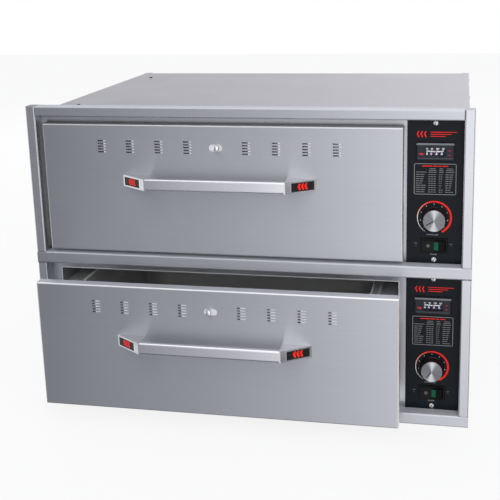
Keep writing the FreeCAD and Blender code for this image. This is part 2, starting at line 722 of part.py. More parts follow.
def tapered_tub(x, y, top, floor, grow):
    """Solid tub with round corners and leaning walls, larger all round by grow."""
    half_w = PAN_W / 2 + grow
    half_d = PAN_D / 2 + grow
    foot_w = half_w - PAN_TAPER
    foot_d = half_d - PAN_TAPER
    tub = Part.makeWedge(-foot_w, floor, -foot_d, -half_d, -half_w, foot_w, top, foot_d, half_d, half_w)
    tub.rotate(Vector(0, 0, 0), Vector(1, 0, 0), 90)
    tub.translate(Vector(x, y, 0))
    corners = [edge for edge in tub.Edges if edge.BoundBox.ZLength > 1]
    return tub.makeFillet(PAN_CORNER + grow, corners)


def food_pan(bay, name):
    """Tapered pan with round corners and a flat rim that rests on the carrier."""
    rim = BAY_Z[bay] + RIM_HEIGHT + PAN_SHEET
    x = DRAWER_OFFSET
    y = drawer_face(name) + DRAWER_T + CARRIER_SHEET + CARRIER_FRONT_SPACE + PAN_RIM + PAN_D / 2
    floor = rim - PAN_DEPTH
    half_w = PAN_W / 2 + PAN_RIM
    half_d = PAN_D / 2 + PAN_RIM
    outline = rounded_rectangle(x - half_w, x + half_w, y - half_d, y + half_d, PAN_CORNER + PAN_RIM,
                                on_xy(rim - PAN_SHEET))
    plate = Part.Face(outline).extrude(Vector(0, 0, PAN_SHEET))
    body = tapered_tub(x, y, rim, floor - PAN_SHEET, PAN_SHEET)
    return body.fuse(plate).cut(tapered_tub(x, y, rim, floor, 0)).removeSplitter()


# ---------------------------------------------------------------- handle
def handle(bay, name):
    """Folded grip between two wedge-shaped end brackets, each with a sunk place for a badge."""
    y = drawer_face(name)
    top = BAY_Z[bay] + DRAWER_LIFT + DRAWER_H - HANDLE_DROP
    low = top - HANDLE_H
    out = y - HANDLE_REACH
    path = [(out + GRIP_RETURN, top), (out, top), (out, low), (out + GRIP_RETURN, low)]
    half = GRIP_SPAN / 2
    grip = folded_sheet(path, GRIP_SHEET, GRIP_BEND, on_yz(DRAWER_OFFSET - half), Vector(2 * half, 0, 0))
    ends = [end_bracket(side, y, low) for side in (-1, 1)]
    return grip.fuse(ends).removeSplitter()


def end_bracket(side, y, low):
    """Wedge from the drawer's face to the end of the grip."""
    foot = HANDLE_SPAN / 2
    near = GRIP_SPAN / 2
    web = near - GRIP_SHEET
    outline = [(foot, y), (near, y - HANDLE_REACH), (web, y - HANDLE_REACH), (web, y)]
    wedge = Part.Face(rounded_outline(outline, [0, BRACKET_ROUND, 0, 0], on_xy(low)))
    wedge = wedge.extrude(Vector(0, 0, HANDLE_H))
    slope = Vector(near - foot, -HANDLE_REACH, 0).normalize()
    normal = Vector(-slope.y, slope.x, 0)
    if normal.x < 0:
        normal = normal * -1
    start = Vector(foot, y, low + (HANDLE_H - BADGE_H) / 2) + slope * BADGE_SETBACK - normal * BADGE_SINK
    far = start + slope * BADGE_L
    corners = [start, far, far + normal * BADGE_H, start + normal * BADGE_H]
    sink = Part.Face(Part.makePolygon(corners + [corners[0]])).extrude(Vector(0, 0, BADGE_H))
    wedge = wedge.cut(sink)
    if side < 0:
        wedge = wedge.mirror(Vector(0, 0, 0), Vector(1, 0, 0))
    wedge.translate(Vector(DRAWER_OFFSET, 0, 0))
    return wedge


# ---------------------------------------------------------------- controls
def control_panel(bay):
    """Panel between the rails, with cut-outs for the thermometer, the thermostat and the switch."""
    floor = BAY_Z[bay]
    x0 = PANEL_CX - PANEL_W / 2
    panel = box(x0, x0 + PANEL_W, Y_PANEL, Y_FACE, floor, floor + BAY_H)
    y0 = Y_PANEL - 1
    y1 = Y_FACE + 1
    fit = CUTOUT_FIT
    cuts = [
        block_at(GAUGE_BODY_W + 2 * fit, GAUGE_BODY_H + 2 * fit, floor + GAUGE_RISE, y0, y1),
        block_at(SWITCH_BODY_W + 2 * fit, SWITCH_BODY_H + 2 * fit, floor + SWITCH_RISE, y0, y1),
        cylinder_y(SPINDLE_HOLE_R, PANEL_CX, y0, y1, floor + DIAL_RISE),
    ]
    return panel.cut(cuts)


def block_at(width, height, z, y0, y1):
    """A block centred on the control panel."""
    return box(PANEL_CX - width / 2, PANEL_CX + width / 2, y0, y1, z - height / 2, z + height / 2)


def gauge_face():
    return Y_PANEL - GAUGE_PROUD


def needle_pivot(bay):
    return BAY_Z[bay] + GAUGE_RISE + NEEDLE_PIVOT_RISE


def gauge_case(bay):
    """Bezel and body of the thermometer: a hollow case with a window in front of the dial card."""
    z = BAY_Z[bay] + GAUGE_RISE
    face = gauge_face()
    bezel = block_at(GAUGE_W, GAUGE_H, z, face, Y_PANEL)
    bezel = bezel.makeChamfer(GAUGE_CHAMFER, edges_at_y(bezel, face))
    body = block_at(GAUGE_BODY_W, GAUGE_BODY_H, z, Y_PANEL, Y_PANEL + GAUGE_BODY_D)
    hollow = block_at(GAUGE_BODY_W - 2 * GAUGE_WALL, GAUGE_BODY_H - 2 * GAUGE_WALL, z,
                      face + LENS_SINK + LENS_T, Y_PANEL + GAUGE_BODY_D - GAUGE_WALL)
    window = block_at(GAUGE_WINDOW_W, GAUGE_WINDOW_H, z, face - 1, face + LENS_SINK + 1)
    seat = block_at(GAUGE_WINDOW_W + 2 * LENS_LAP, GAUGE_WINDOW_H + 2 * LENS_LAP, z,
                    face + LENS_SINK, face + LENS_SINK + LENS_T)
    case = bezel.fuse(body).cut([hollow, window, seat])
    card_y = face + NEEDLE_DEPTH + NEEDLE_HUB_L
    card = block_at(GAUGE_BODY_W - 2 * GAUGE_WALL, GAUGE_BODY_H - 2 * GAUGE_WALL, z, card_y, card_y + CARD_T)
    return case.fuse(card).removeSplitter()


def gauge_lens(bay):
    """Window of the thermometer, in its seat behind the bezel."""
    y = gauge_face() + LENS_SINK
    lap = 2 * LENS_LAP - 0.2
    return block_at(GAUGE_WINDOW_W + lap, GAUGE_WINDOW_H + lap, BAY_Z[bay] + GAUGE_RISE, y, y + LENS_T)


def gauge_needle(bay):
    """Needle that hangs from its hub, which turns on the dial card."""
    y = gauge_face() + NEEDLE_DEPTH
    z = needle_pivot(bay)
    hub = cylinder_y(NEEDLE_HUB_R, PANEL_CX, y, y + NEEDLE_HUB_L, z)
    blade = box(PANEL_CX - NEEDLE_W / 2, PANEL_CX + NEEDLE_W / 2, y, y + NEEDLE_T, z - NEEDLE_L, z)
    return hub.fuse(blade).removeSplitter()


def thermostat(bay):
    """Thermostat behind the panel. The spindle turns in its bore."""
    z = BAY_Z[bay] + DIAL_RISE
    body = block_at(THERMOSTAT_W, THERMOSTAT_H, z, Y_FACE, Y_FACE + THERMOSTAT_D)
    bore = cylinder_y(SPINDLE_R + SPINDLE_CLEAR, PANEL_CX, Y_FACE - 1, Y_FACE + SPINDLE_GRIP + 1, z)
    return body.cut(bore)


def knob_base():
    return Y_PANEL - KNOB_GAP


def thermostat_knob(bay):
    """Moulded knob with a skirt round a plain grip, on its spindle."""
    z = BAY_Z[bay] + DIAL_RISE
    base = knob_base()
    skirt = cylinder_y(KNOB_SKIRT_R, PANEL_CX, base - KNOB_SKIRT_T, base, z)
    grip = cylinder_y(KNOB_R, PANEL_CX, base - KNOB_H, base - KNOB_SKIRT_T, z)
    spindle = cylinder_y(SPINDLE_R, PANEL_CX, base, Y_FACE + SPINDLE_GRIP, z)
    return skirt.fuse([grip, spindle])


def knob_cap(bay):
    """Metal disc on the face of the knob, with a groove as the pointer."""
    z = BAY_Z[bay] + DIAL_RISE
    seat = knob_base() - KNOB_H
    disc = cylinder_y(CAP_R, PANEL_CX, seat - CAP_T, seat, z)
    groove = box(PANEL_CX - POINTER_W / 2, PANEL_CX + POINTER_W / 2, seat - CAP_T - 1,
                 seat - CAP_T + POINTER_SINK, z + CAP_R - POINTER_EDGE - POINTER_L, z + CAP_R - POINTER_EDGE)
    groove.rotate(Vector(PANEL_CX, 0, z), Vector(0, 1, 0), POINTER_AT[BAY_NAMES[bay]])
    return disc.cut(groove)


def switch_face():
    return Y_PANEL - SWITCH_BEZEL_T


def rocker_pivot_y():
    return switch_face() + ROCKER_PIVOT_SINK


def switch_body(bay):
    """Bezel and body of the switch, with the pocket and the pin that the rocker swings on."""
    z = BAY_Z[bay] + SWITCH_RISE
    face = switch_face()
    bezel = block_at(SWITCH_W, SWITCH_H, z, face, Y_PANEL)
    bezel = bezel.makeChamfer(SWITCH_CHAMFER, edges_at_y(bezel, face))
    body = block_at(SWITCH_BODY_W, SWITCH_BODY_H, z, Y_PANEL, Y_PANEL + SWITCH_BODY_D)
    pocket = block_at(ROCKER_W + 2 * ROCKER_CLEAR, ROCKER_H + 2 * ROCKER_SIDE_CLEAR, z,
                      face - 1, face + SWITCH_POCKET_D)
    case = bezel.fuse(body).cut(pocket)
    pin = Part.makeCylinder(ROCKER_PIN_R, ROCKER_H + 2 * ROCKER_SIDE_CLEAR + 1,
                            Vector(PANEL_CX, rocker_pivot_y(), z - ROCKER_H / 2 - ROCKER_SIDE_CLEAR - 0.5))
    return case.fuse(pin).removeSplitter()


def rocker(bay):
    """Rocker with a shallow V face, shown with its left end pressed in."""
    z = BAY_Z[bay] + SWITCH_RISE
    pivot = rocker_pivot_y()
    half = ROCKER_W / 2
    rise = ROCKER_PROUD + ROCKER_PIVOT_SINK
    dip = half * math.tan(math.radians(ROCKER_TILT))
    outline = [(-half, -rise), (0, -(rise - dip)), (half, -rise), (half, 0), (ROCKER_KEEL, ROCKER_SKIRT),
               (-ROCKER_KEEL, ROCKER_SKIRT), (-half, 0)]
    block = Part.Face(rounded_outline(outline, [0] * len(outline), on_xy(0))).extrude(Vector(0, 0, ROCKER_H))
    bore = Part.makeCylinder(ROCKER_PIN_R + ROCKER_PIN_CLEAR, ROCKER_H + 2, Vector(0, 0, -1))
    block = block.cut(bore)
    block.rotate(Vector(0, 0, 0), Vector(0, 0, 1), -ROCKER_TILT)
    block.translate(Vector(PANEL_CX, pivot, z - ROCKER_H / 2))
    return block


# ---------------------------------------------------------------- assembly
def make_case():
    save("side_panel_left", side_panel(-1))
    save("side_panel_right", side_panel(1))
    save("top_cover", top_cover())
    save("base_panel", base_panel())
    save("back_panel", back_panel())
    save("cord_gland", cord_gland())
    save("bay_divider", divider())
    save("control_partition", control_partition())


def make_bay(bay, name):
    save("face_panel_" + name, face_panel(bay))
    save("liner_" + name, liner(bay))
    save("insulation_" + name, insulation(bay))
    save("heater_" + name, heater(bay))
    make_slides(bay, name)
    make_drawer(bay, name)
    make_controls(bay, name)


def make_drawer(bay, name):
    save("drawer_front_" + name, drawer_front(bay, name))
    save("drawer_carrier_" + name, drawer_carrier(bay, name))
    save("food_pan_" + name, food_pan(bay, name))
    save("handle_" + name, handle(bay, name))
    save("vent_plate_" + name, vent_plate(bay, name))
    save("vent_knob_" + name, vent_knob(bay, name))


def make_controls(bay, name):
    save("control_panel_" + name, control_panel(bay))
    save("gauge_case_" + name, gauge_case(bay))
    save("gauge_lens_" + name, gauge_lens(bay))
    save("gauge_needle_" + name, gauge_needle(bay))
    save("thermostat_" + name, thermostat(bay))
    save("thermostat_knob_" + name, thermostat_knob(bay))
    save("knob_cap_" + name, knob_cap(bay))
    save("switch_body_" + name, switch_body(bay))
    save("rocker_" + name, rocker(bay))


def main():
    os.makedirs("parts", exist_ok=True)
    make_frame()
    make_case()
    for bay, name in enumerate(BAY_NAMES):
        make_bay(bay, name)


main()
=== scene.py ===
"""Looks of the two-drawer food warming cabinet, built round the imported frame."""
import math

import bpy
from mathutils import Matrix, Vector


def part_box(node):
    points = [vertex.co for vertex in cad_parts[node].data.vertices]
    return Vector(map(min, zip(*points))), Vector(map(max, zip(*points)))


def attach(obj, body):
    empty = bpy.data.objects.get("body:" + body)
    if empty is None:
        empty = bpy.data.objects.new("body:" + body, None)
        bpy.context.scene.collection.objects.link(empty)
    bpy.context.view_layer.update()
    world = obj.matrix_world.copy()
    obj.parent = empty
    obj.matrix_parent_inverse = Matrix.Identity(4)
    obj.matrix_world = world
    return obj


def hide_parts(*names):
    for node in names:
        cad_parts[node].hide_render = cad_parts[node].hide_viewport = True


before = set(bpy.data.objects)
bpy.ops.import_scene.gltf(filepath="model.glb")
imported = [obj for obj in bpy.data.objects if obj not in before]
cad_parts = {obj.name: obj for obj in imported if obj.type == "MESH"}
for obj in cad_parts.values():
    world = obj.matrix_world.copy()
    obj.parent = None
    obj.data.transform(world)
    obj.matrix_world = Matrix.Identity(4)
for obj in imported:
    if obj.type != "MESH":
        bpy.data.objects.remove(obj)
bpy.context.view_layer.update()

MM = 0.001
NAMES = ("lower", "upper")


# ---------------------------------------------------------------- places from the frame, in millimetres
def extent(node, axis):
    """Lowest and highest place of a frame node at rest along one axis."""
    return [round(corner["xyz".index(axis)] / MM, 2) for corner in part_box(node)]


def mid_of(node, axis):
    return sum(extent(node, axis)) / 2


BAY_FLOOR = {name: extent("control_panel_" + name, "z")[0] for name in NAMES}
DRAWER_FACE = {name: extent("drawer_front_" + name, "y")[0] for name in NAMES}
DRAWER_X = mid_of("drawer_front_lower", "x")
FRONT_Y = extent("frame_top_rail", "y")[0]
FACE_PANEL_Y = extent("face_panel_lower", "y")[0]
PANEL_X = mid_of("control_panel_lower", "x")
PANEL_Y = extent("control_panel_lower", "y")[0]
BEZEL_Y = extent("gauge_case_lower", "y")[0]
CARD_Y = extent("gauge_needle_lower", "y")[1]        # the needle stands right in front of it
CAP_Y = extent("knob_cap_lower", "y")[0]
SWITCH_Y = extent("switch_body_lower", "y")[0]

# Middles above the floor of the bay
GAUGE_RISE = mid_of("gauge_case_lower", "z") - BAY_FLOOR["lower"]
DIAL_RISE = mid_of("thermostat_knob_lower", "z") - BAY_FLOOR["lower"]
SWITCH_RISE = mid_of("rocker_lower", "z") - BAY_FLOOR["lower"]


# ---------------------------------------------------------------- shader helpers
class Tree:
    """Short ways to fill a node tree."""

    def __init__(self, tree):
        self.tree = tree

    def put(self, value, socket):
        """Gives a socket a link, a number, a vector or a plain colour."""
        if isinstance(value, bpy.types.NodeSocket):
            self.tree.links.new(value, socket)
        elif socket.type == "RGBA":
            socket.default_value = (*value, 1.0)
        else:
            socket.default_value = value

    def node(self, kind, inputs=(), **settings):
        made = self.tree.nodes.new(kind)
        for name, value in settings.items():
            setattr(made, name, value)
        for name, value in dict(inputs).items():
            self.put(value, made.inputs[name])
        return made

    def where(self, kind):
        return self.node("ShaderNodeTexCoord").outputs[kind]

    def axes(self, vector):
        """The X, Y and Z of a vector."""
        return self.node("ShaderNodeSeparateXYZ", {"Vector": vector}).outputs

    def coords(self, scale=(1, 1, 1)):
        """Object coordinates. A larger scale makes a pattern finer along that axis."""
        inputs = {"Vector": self.where("Object"), "Scale": scale}
        return self.node("ShaderNodeMapping", inputs).outputs["Vector"]

    def noise(self, scale, vector, detail=3.0, roughness=0.5):
        inputs = {"Vector": vector, "Scale": scale, "Detail": detail, "Roughness": roughness}
        return self.node("ShaderNodeTexNoise", inputs).outputs["Fac"]

    def ramp(self, fac, stops):
        """Colours along fac, from stops of place and colour."""
        made = self.node("ShaderNodeValToRGB", {"Fac": fac})
        elements = made.color_ramp.elements
        while len(elements) < len(stops):
            elements.new(0.5)
        for element, (at, colour) in zip(elements, stops):
            element.position = at
            element.color = (*colour, 1.0)
        return made.outputs["Color"]

    def tones(self, fac, colour, spread, reach):
        """The colour, darker and lighter by spread where fac is reach below and above a half."""
        shades = [tuple(min(c * (1 + k * spread), 1.0) for c in colour) for k in (-1, 0, 1)]
        return self.ramp(fac, list(zip((0.5 - reach, 0.5, 0.5 + reach), shades)))

    def span(self, fac, low, high, start=0.0, end=1.0):
        """Goes from low to high as fac goes from start to end."""
        inputs = {"Value": fac, "From Min": start, "From Max": end, "To Min": low, "To Max": high}
        return self.node("ShaderNodeMapRange", inputs).outputs["Result"]

    def math(self, operation, a, b=0.0):
        return self.node("ShaderNodeMath", {0: a, 1: b}, operation=operation).outputs[0]

    def blend(self, share, first, second):
        """Goes from the first colour to the second as share goes from 0 to 1."""
        return self.node("ShaderNodeMix", {0: share, 6: first, 7: second}, data_type="RGBA").outputs[2]

    def choose(self, share, first, second):
        """Goes from the first shader to the second as share goes from 0 to 1."""
        return self.node("ShaderNodeMixShader", {0: share, 1: first, 2: second}).outputs[0]

    def bump(self, height, strength, distance, over=None):
        """The normal of a relief that stands on the normal over."""
        made = self.node("ShaderNodeBump", {"Height": height, "Strength": strength, "Distance": distance})
        if over is not None:
            self.put(over, made.inputs["Normal"])
        return made.outputs["Normal"]


class Graph(Tree):
    """A new material's node tree with one Principled shader."""

    def __init__(self, name):
        self.material = bpy.data.materials.new(name)
        self.material.use_nodes = True
        super().__init__(self.material.node_tree)
        self.bsdf = self.tree.nodes["Principled BSDF"]

    def set(self, **values):
        for name, value in values.items():
            self.put(value, self.bsdf.inputs[name.replace("_", " ")])

    def rim_share(self, x_edge, z_edge, y_edge):
        """Mask of the painted highlight on a flat front: 1 on the bends along its top and both ends, 0
        elsewhere.

        The edges are shares of the front's size. Each bend is full over its outer part and fades out inward.
        """
        axes = self.axes(self.where("Generated"))
        full = 0.6
        off = self.math("ABSOLUTE", self.math("SUBTRACT", axes["X"], 0.5))
        ends = self.span(off, 0.0, 1.0, 0.5 - x_edge, 0.5 - x_edge * full)
        top = self.span(axes["Z"], 0.0, 1.0, 1.0 - z_edge, 1.0 - z_edge * full)
        front = self.span(axes["Y"], 1.0, 0.0, y_edge * full, y_edge)
        return self.math("MULTIPLY", self.math("MAXIMUM", ends, top), front)

    def crown(self, rise):
        """The slight bow of a pressed strip: higher in the middle of its length by rise metres."""
        off = self.math("SUBTRACT", self.axes(self.where("Generated"))["X"], 0.5)
        return self.bump(self.math("MULTIPLY", self.math("MULTIPLY", off, off), -4.0 * rise), 1.0, 1.0)


# ---------------------------------------------------------------- kinds of material
# Near-white that the bends blend to: painted highlight
BEND_HIGHLIGHT = (0.93, 0.93, 0.94)
# Dark colour that the gaps blend to: painted shade
GAP_SHADE = (0.16, 0.16, 0.15)
FINE = 0.00005           # heights of fine textures, in metres
FAINT = 0.00002


def brushed(name, colour, rough, grain, spread=0.03, bump=0.12, stretch=0.0, crown=0.0, rim=None, ledge=1.0,
            crevice_shade=0.0):
    """Brushed or rolled metal: fine streaks along the grain over slow clouds, with a few deeper scratches.

    stretch spreads the highlights across the grain. crown is how far a pressed strip bows, in metres. rim is
    the width of the bends that get a painted highlight, along x, z and y, as shares of the size. ledge is
    how metallic the faces that look up are, where handling and dust have dulled them. crevice_shade is how
    wide the gaps are, in metres, that get painted shade, found by ambient occlusion.
    """
    def drawn(along, across):
        return [along if axis in grain else across for axis in "xyz"]

    g = Graph(name)
    streaks = g.noise(1.0, g.coords(drawn(8, 1500)), 4.0, 0.62)
    lines = g.noise(1.0, g.coords(drawn(4, 700)), 2.0)
    clouds = g.noise(9.0, g.coords(), 3.0)
    mixed = g.math("ADD", g.math("MULTIPLY", streaks, 0.7), g.math("MULTIPLY", clouds, 0.3))
    tone = g.tones(mixed, colour, spread, 0.14)
    if rim:
        # Painted highlight: the colour blends to near-white on the bends
        tone = g.blend(g.rim_share(*rim), tone, BEND_HIGHLIGHT)
    if crevice_shade:
        # Painted shade: the colour darkens where ambient occlusion finds a gap within crevice_shade metres
        gap = g.node("ShaderNodeAmbientOcclusion", {"Distance": crevice_shade}, samples=8)
        tone = g.blend(g.span(gap.outputs["AO"], 1.0, 0.0, 0.2, 0.52), tone, GAP_SHADE)
    wear = g.math("ADD", g.math("MULTIPLY", lines, 0.6), g.math("MULTIPLY", clouds, 0.4))
    relief = g.math("ADD", streaks, g.math("MULTIPLY", lines, 0.5))
    g.set(Base_Color=tone, Roughness=g.span(wear, rough - 0.025, rough + 0.035, 0.3, 0.7), Metallic=1.0,
          Anisotropic=stretch, Normal=g.bump(relief, bump, FINE, g.crown(crown) if crown else None))
    if ledge < 1.0:
        up = g.axes(g.node("ShaderNodeNewGeometry").outputs["True Normal"])["Z"]
        g.set(Metallic=g.span(up, 1.0, ledge, 0.7, 0.95))
    if stretch:
        g.set(Tangent=g.node("ShaderNodeTangent", direction_type="RADIAL", axis=grain[0].upper()).outputs[0])
    return g.material


def coated_steel(name, colour, rough, spread=0.07, metal=0.6):
    """Zinc-coated sheet with a faint crystal pattern."""
    g = Graph(name)
    cells = g.node("ShaderNodeTexVoronoi", {"Vector": g.coords(), "Scale": 90.0, "Randomness": 1.0})
    tone = g.node("ShaderNodeSeparateColor", {"Color": cells.outputs["Color"]})
    clouds = g.noise(7.0, g.coords(), 4.0)
    mixed = g.math("ADD", g.math("MULTIPLY", tone.outputs["Red"], 0.3), g.math("MULTIPLY", clouds, 0.7))
    g.set(Base_Color=g.tones(mixed, colour, spread, 0.25), Metallic=metal,
          Roughness=g.span(mixed, rough - 0.06, rough + 0.08, 0.2, 0.8),
          Normal=g.bump(g.noise(420.0, g.coords(), 3.0), 0.1, 0.00008))
    return g.material


def plastic(name, colour, rough, grain=1400.0, bump=0.15, level=0.4, spread=0.12):
    """Moulded plastic with an eroded texture."""
    g = Graph(name)
    clouds = g.noise(60.0, g.coords(), 3.0)
    g.set(Base_Color=g.tones(clouds, colour, spread, 0.2), Specular_IOR_Level=level,
          Roughness=g.span(clouds, rough - 0.05, rough + 0.06, 0.3, 0.7),
          Normal=g.bump(g.noise(grain, g.coords(), 2.0), bump, FINE))
    return g.material


def ink(name, colour):
    """Screen-printed ink, slightly uneven in density."""
    g = Graph(name)
    density = g.noise(900.0, g.coords(), 3.0)
    g.set(Base_Color=g.tones(density, colour, 0.08, 0.2), Roughness=g.span(density, 0.4, 0.5, 0.3, 0.7),
          Specular_IOR_Level=0.2, Normal=g.bump(density, 0.1, FAINT))
    return g.material


def dial_ring_ink(name, hot):
    """Ink that turns from white at the cool end to red, by the angle round the dial."""
    g = Graph(name)
    where = g.where("Object")
    axes = g.axes(where)
    angle = g.math("DIVIDE", g.math("ARCTAN2", axes["X"], axes["Z"]), 2 * math.pi)
    turn = g.math("FRACT", g.math("ADD", angle, 0.5))
    stops = [(0.0, (0.72, 0.70, 0.68)), (0.23, (0.85, 0.80, 0.78)), (0.36, (0.95, 0.20, 0.10)), (0.46, hot)]
    g.set(Base_Color=g.ramp(turn, stops), Roughness=0.45, Specular_IOR_Level=0.2,
          Normal=g.bump(g.noise(900.0, where, 3.0), 0.1, FAINT))
    return g.material


def turned_aluminium(name):
    """Spun disc: concentric grain, and the fans of light that such a grain shows, painted by angle."""
    g = Graph(name)
    inputs = {"Vector": g.coords(), "Scale": 900.0, "Distortion": 1.5, "Detail": 2.0}
    rings = g.node("ShaderNodeTexWave", inputs, wave_type="RINGS", rings_direction="Y").outputs["Fac"]
    axes = g.axes(g.where("Generated"))
    turn = g.math("ARCTAN2", g.math("SUBTRACT", axes["X"], 0.5), g.math("SUBTRACT", axes["Z"], 0.5))
    broad = g.math("COSINE", g.math("MULTIPLY", turn, 2.0))
    narrow = g.math("COSINE", g.math("MULTIPLY", turn, 11.0))
    sheen = g.math("ADD", g.span(broad, 0.0, 0.8, 0.45, 1.0), g.math("MULTIPLY", rings, 0.12))
    sheen = g.math("ADD", sheen, g.math("MULTIPLY", narrow, 0.05))
    stops = [(0.0, (0.33, 0.335, 0.35)), (0.5, (0.52, 0.53, 0.55)), (1.0, (0.80, 0.81, 0.83))]
    g.set(Base_Color=g.ramp(sheen, stops), Roughness=g.span(rings, 0.40, 0.47), Metallic=1.0,
          Anisotropic=0.96, Anisotropic_Rotation=0.25,
          Tangent=g.node("ShaderNodeTangent", direction_type="RADIAL", axis="Y").outputs[0])
    return g.material


def clear_lens(name):
    """Clear plastic with a slight haze."""
    g = Graph(name)
    haze = g.noise(150.0, g.coords(), 3.0)
    g.set(Base_Color=g.ramp(haze, [(0.0, (0.93, 0.95, 0.96)), (1.0, (0.99, 0.99, 0.99))]),
          Roughness=g.span(haze, 0.03, 0.09, 0.3, 0.7), Transmission_Weight=1.0, IOR=1.2)
    return g.material


def mineral_wool(name):
    """Pressed yellow fibres."""
    g = Graph(name)
    fibres = g.noise(1.0, g.coords((300, 60, 300)), 6.0, 0.7)
    g.set(Base_Color=g.ramp(fibres, [(0.3, (0.55, 0.47, 0.28)), (0.7, (0.80, 0.73, 0.52))]), Roughness=0.95,
          Normal=g.bump(fibres, 0.8, 0.001))
    return g.material


# ---------------------------------------------------------------- materials
STEEL = (0.60, 0.61, 0.645)
RED = (0.95, 0.022, 0.012)
# Widths of the painted highlight on the bends of the drawer fronts, along x, z and y
FRONT_BEND_HIGHLIGHT = (0.0042, 0.0115, 0.14)
mats = {
    "frame_top": brushed("steel_frame_top", STEEL, 0.38, "x", stretch=0.92),
    "frame_x": brushed("steel_frame_across", STEEL, 0.38, "x", stretch=0.92, ledge=0.1),
    # The uprights and the face panel get painted shade in their gaps
    "frame_z": brushed("steel_frame_upright", STEEL, 0.27, "z", crevice_shade=0.012),
    "face": brushed("steel_face_panel", STEEL, 0.30, "z", stretch=0.6, crevice_shade=0.025),
    # The drawer fronts get a painted highlight on their bends
    "front": brushed("steel_drawer_front", STEEL, 0.38, "x", bump=0.14, stretch=0.92, rim=FRONT_BEND_HIGHLIGHT),
    "case": brushed("steel_case", (0.64, 0.64, 0.665), 0.42, "y", bump=0.06),
    "liner": coated_steel("steel_liner", (0.30, 0.31, 0.31), 0.42, metal=0.4),
    "slide": coated_steel("steel_slide", (0.74, 0.75, 0.77), 0.36, metal=0.3),
    "carrier": coated_steel("steel_carrier", (0.64, 0.65, 0.67), 0.4, 0.05, 0.45),
    "pan": coated_steel("steel_pan", (0.68, 0.68, 0.68), 0.36, 0.02, 0.72),
    "handle": brushed("steel_handle", (0.82, 0.82, 0.845), 0.26, "xy", bump=0.06, stretch=0.4, crown=0.004),
    "screw": coated_steel("steel_screw", (0.84, 0.84, 0.85), 0.34, 0.03, 0.8),
    # Light grey of the strip on the gauge bezel's top edge: painted highlight
    "top_highlight": plastic("plastic_top_highlight", (0.185, 0.19, 0.205), 0.5, 1600.0, 0.06, 0.3),
    "chrome": brushed("bright_chrome", (0.86, 0.86, 0.87), 0.14, "y", spread=0.02, bump=0.02),
    "seam": brushed("seam_shade", (0.20, 0.20, 0.21), 0.5, "z"),
    "plate": coated_steel("steel_vent_plate", (0.86, 0.87, 0.88), 0.5, 0.03),
    "heater": brushed("steel_heater", (0.30, 0.29, 0.28), 0.5, "x", spread=0.25),
    "wool": mineral_wool("mineral_wool"),
    "gland": plastic("plastic_gland", (0.03, 0.03, 0.032), 0.5),
    "panel": plastic("panel_film", (0.006, 0.0085, 0.012), 0.3, 2600.0, 0.08, 0.14),
    "gauge": plastic("plastic_gauge", (0.013, 0.016, 0.0225), 0.36, 1800.0, 0.08, 0.3),
    "lens": clear_lens("gauge_lens"),
    "needle": ink("needle_red", (0.42, 0.015, 0.025)),
    "thermostat": plastic("plastic_thermostat", (0.05, 0.045, 0.04), 0.6),
    "knob": plastic("plastic_knob", (0.007, 0.007, 0.0085), 0.38, 1600.0, 0.08, 0.3),
    "cap": turned_aluminium("aluminium_cap"),
    "switch": plastic("plastic_switch", (0.006, 0.0055, 0.0055), 0.42, 1600.0, 0.1, 0.16),
    "rocker": plastic("plastic_rocker", (0.006, 0.006, 0.006), 0.4, 1600.0, 0.1, 0.18),
    "white": ink("ink_white", (0.80, 0.81, 0.82)),
    "grey": ink("ink_grey", (0.30, 0.29, 0.29)),
    "faint": ink("ink_faint", (0.17, 0.168, 0.17)),
    "scale": ink("gauge_scale_ink", (0.95, 0.95, 0.96)),
    "card": ink("gauge_card", (0.003, 0.0035, 0.045)),
    # Lighter grey of the strip along the gauge's lower inner bevel: painted highlight
    "bevel": plastic("plastic_bevel_highlight", (0.075, 0.085, 0.10), 0.5, 1600.0, 0.06, 0.3),
    # Plain dark strip on the floor of each knob's pointer groove
    "groove": ink("groove_dark_strip", (0.02, 0.02, 0.024)),
    # Near-white, mostly matt bend of the pan rim: painted highlight on a real bend
    "bend": coated_steel("steel_bend_highlight", (0.93, 0.93, 0.92), 0.3, 0.02, 0.15),
    "hem": coated_steel("steel_hem", (0.80, 0.81, 0.83), 0.3, 0.02, 0.4),
    "red": ink("ink_red", RED),
    "badge": plastic("badge_black", (0.012, 0.012, 0.013), 0.3, 2000.0, 0.05, 0.3),
    "green": plastic("lens_green", (0.004, 0.115, 0.05), 0.22, 500.0, 0.05, 0.5, 0.2),
    "dial_ring": dial_ring_ink("ink_dial_ring", RED),
}
# The material of a frame node, by how its name starts. The first start that fits counts.
FINISHES = [
    ("frame_top", "frame_top"), ("frame_", "frame_x"), ("stile_", "frame_z"), ("face_panel", "face"),
    ("side_panel", "case"), ("top_cover", "case"), ("base_panel", "case"), ("back_panel", "case"),
    ("cord_gland", "gland"), ("bay_divider", "liner"), ("control_partition", "liner"), ("liner", "liner"),
    ("insulation", "wool"), ("heater", "heater"), ("slide_", "slide"), ("drawer_front", "front"),
    ("drawer_carrier", "carrier"), ("food_pan", "pan"), ("handle", "handle"), ("vent_plate", "plate"),
    ("vent_knob", "handle"), ("control_panel", "panel"), ("gauge_case", "gauge"), ("gauge_lens", "lens"),
    ("gauge_needle", "needle"), ("thermostat_knob", "knob"), ("thermostat_", "thermostat"),
    ("knob_cap", "cap"), ("switch_body", "switch"), ("rocker", "rocker"),
]
for name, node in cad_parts.items():
    finish = next(key for start, key in FINISHES if name.startswith(start))
    node.data.materials.clear()
    node.data.materials.append(mats[finish])


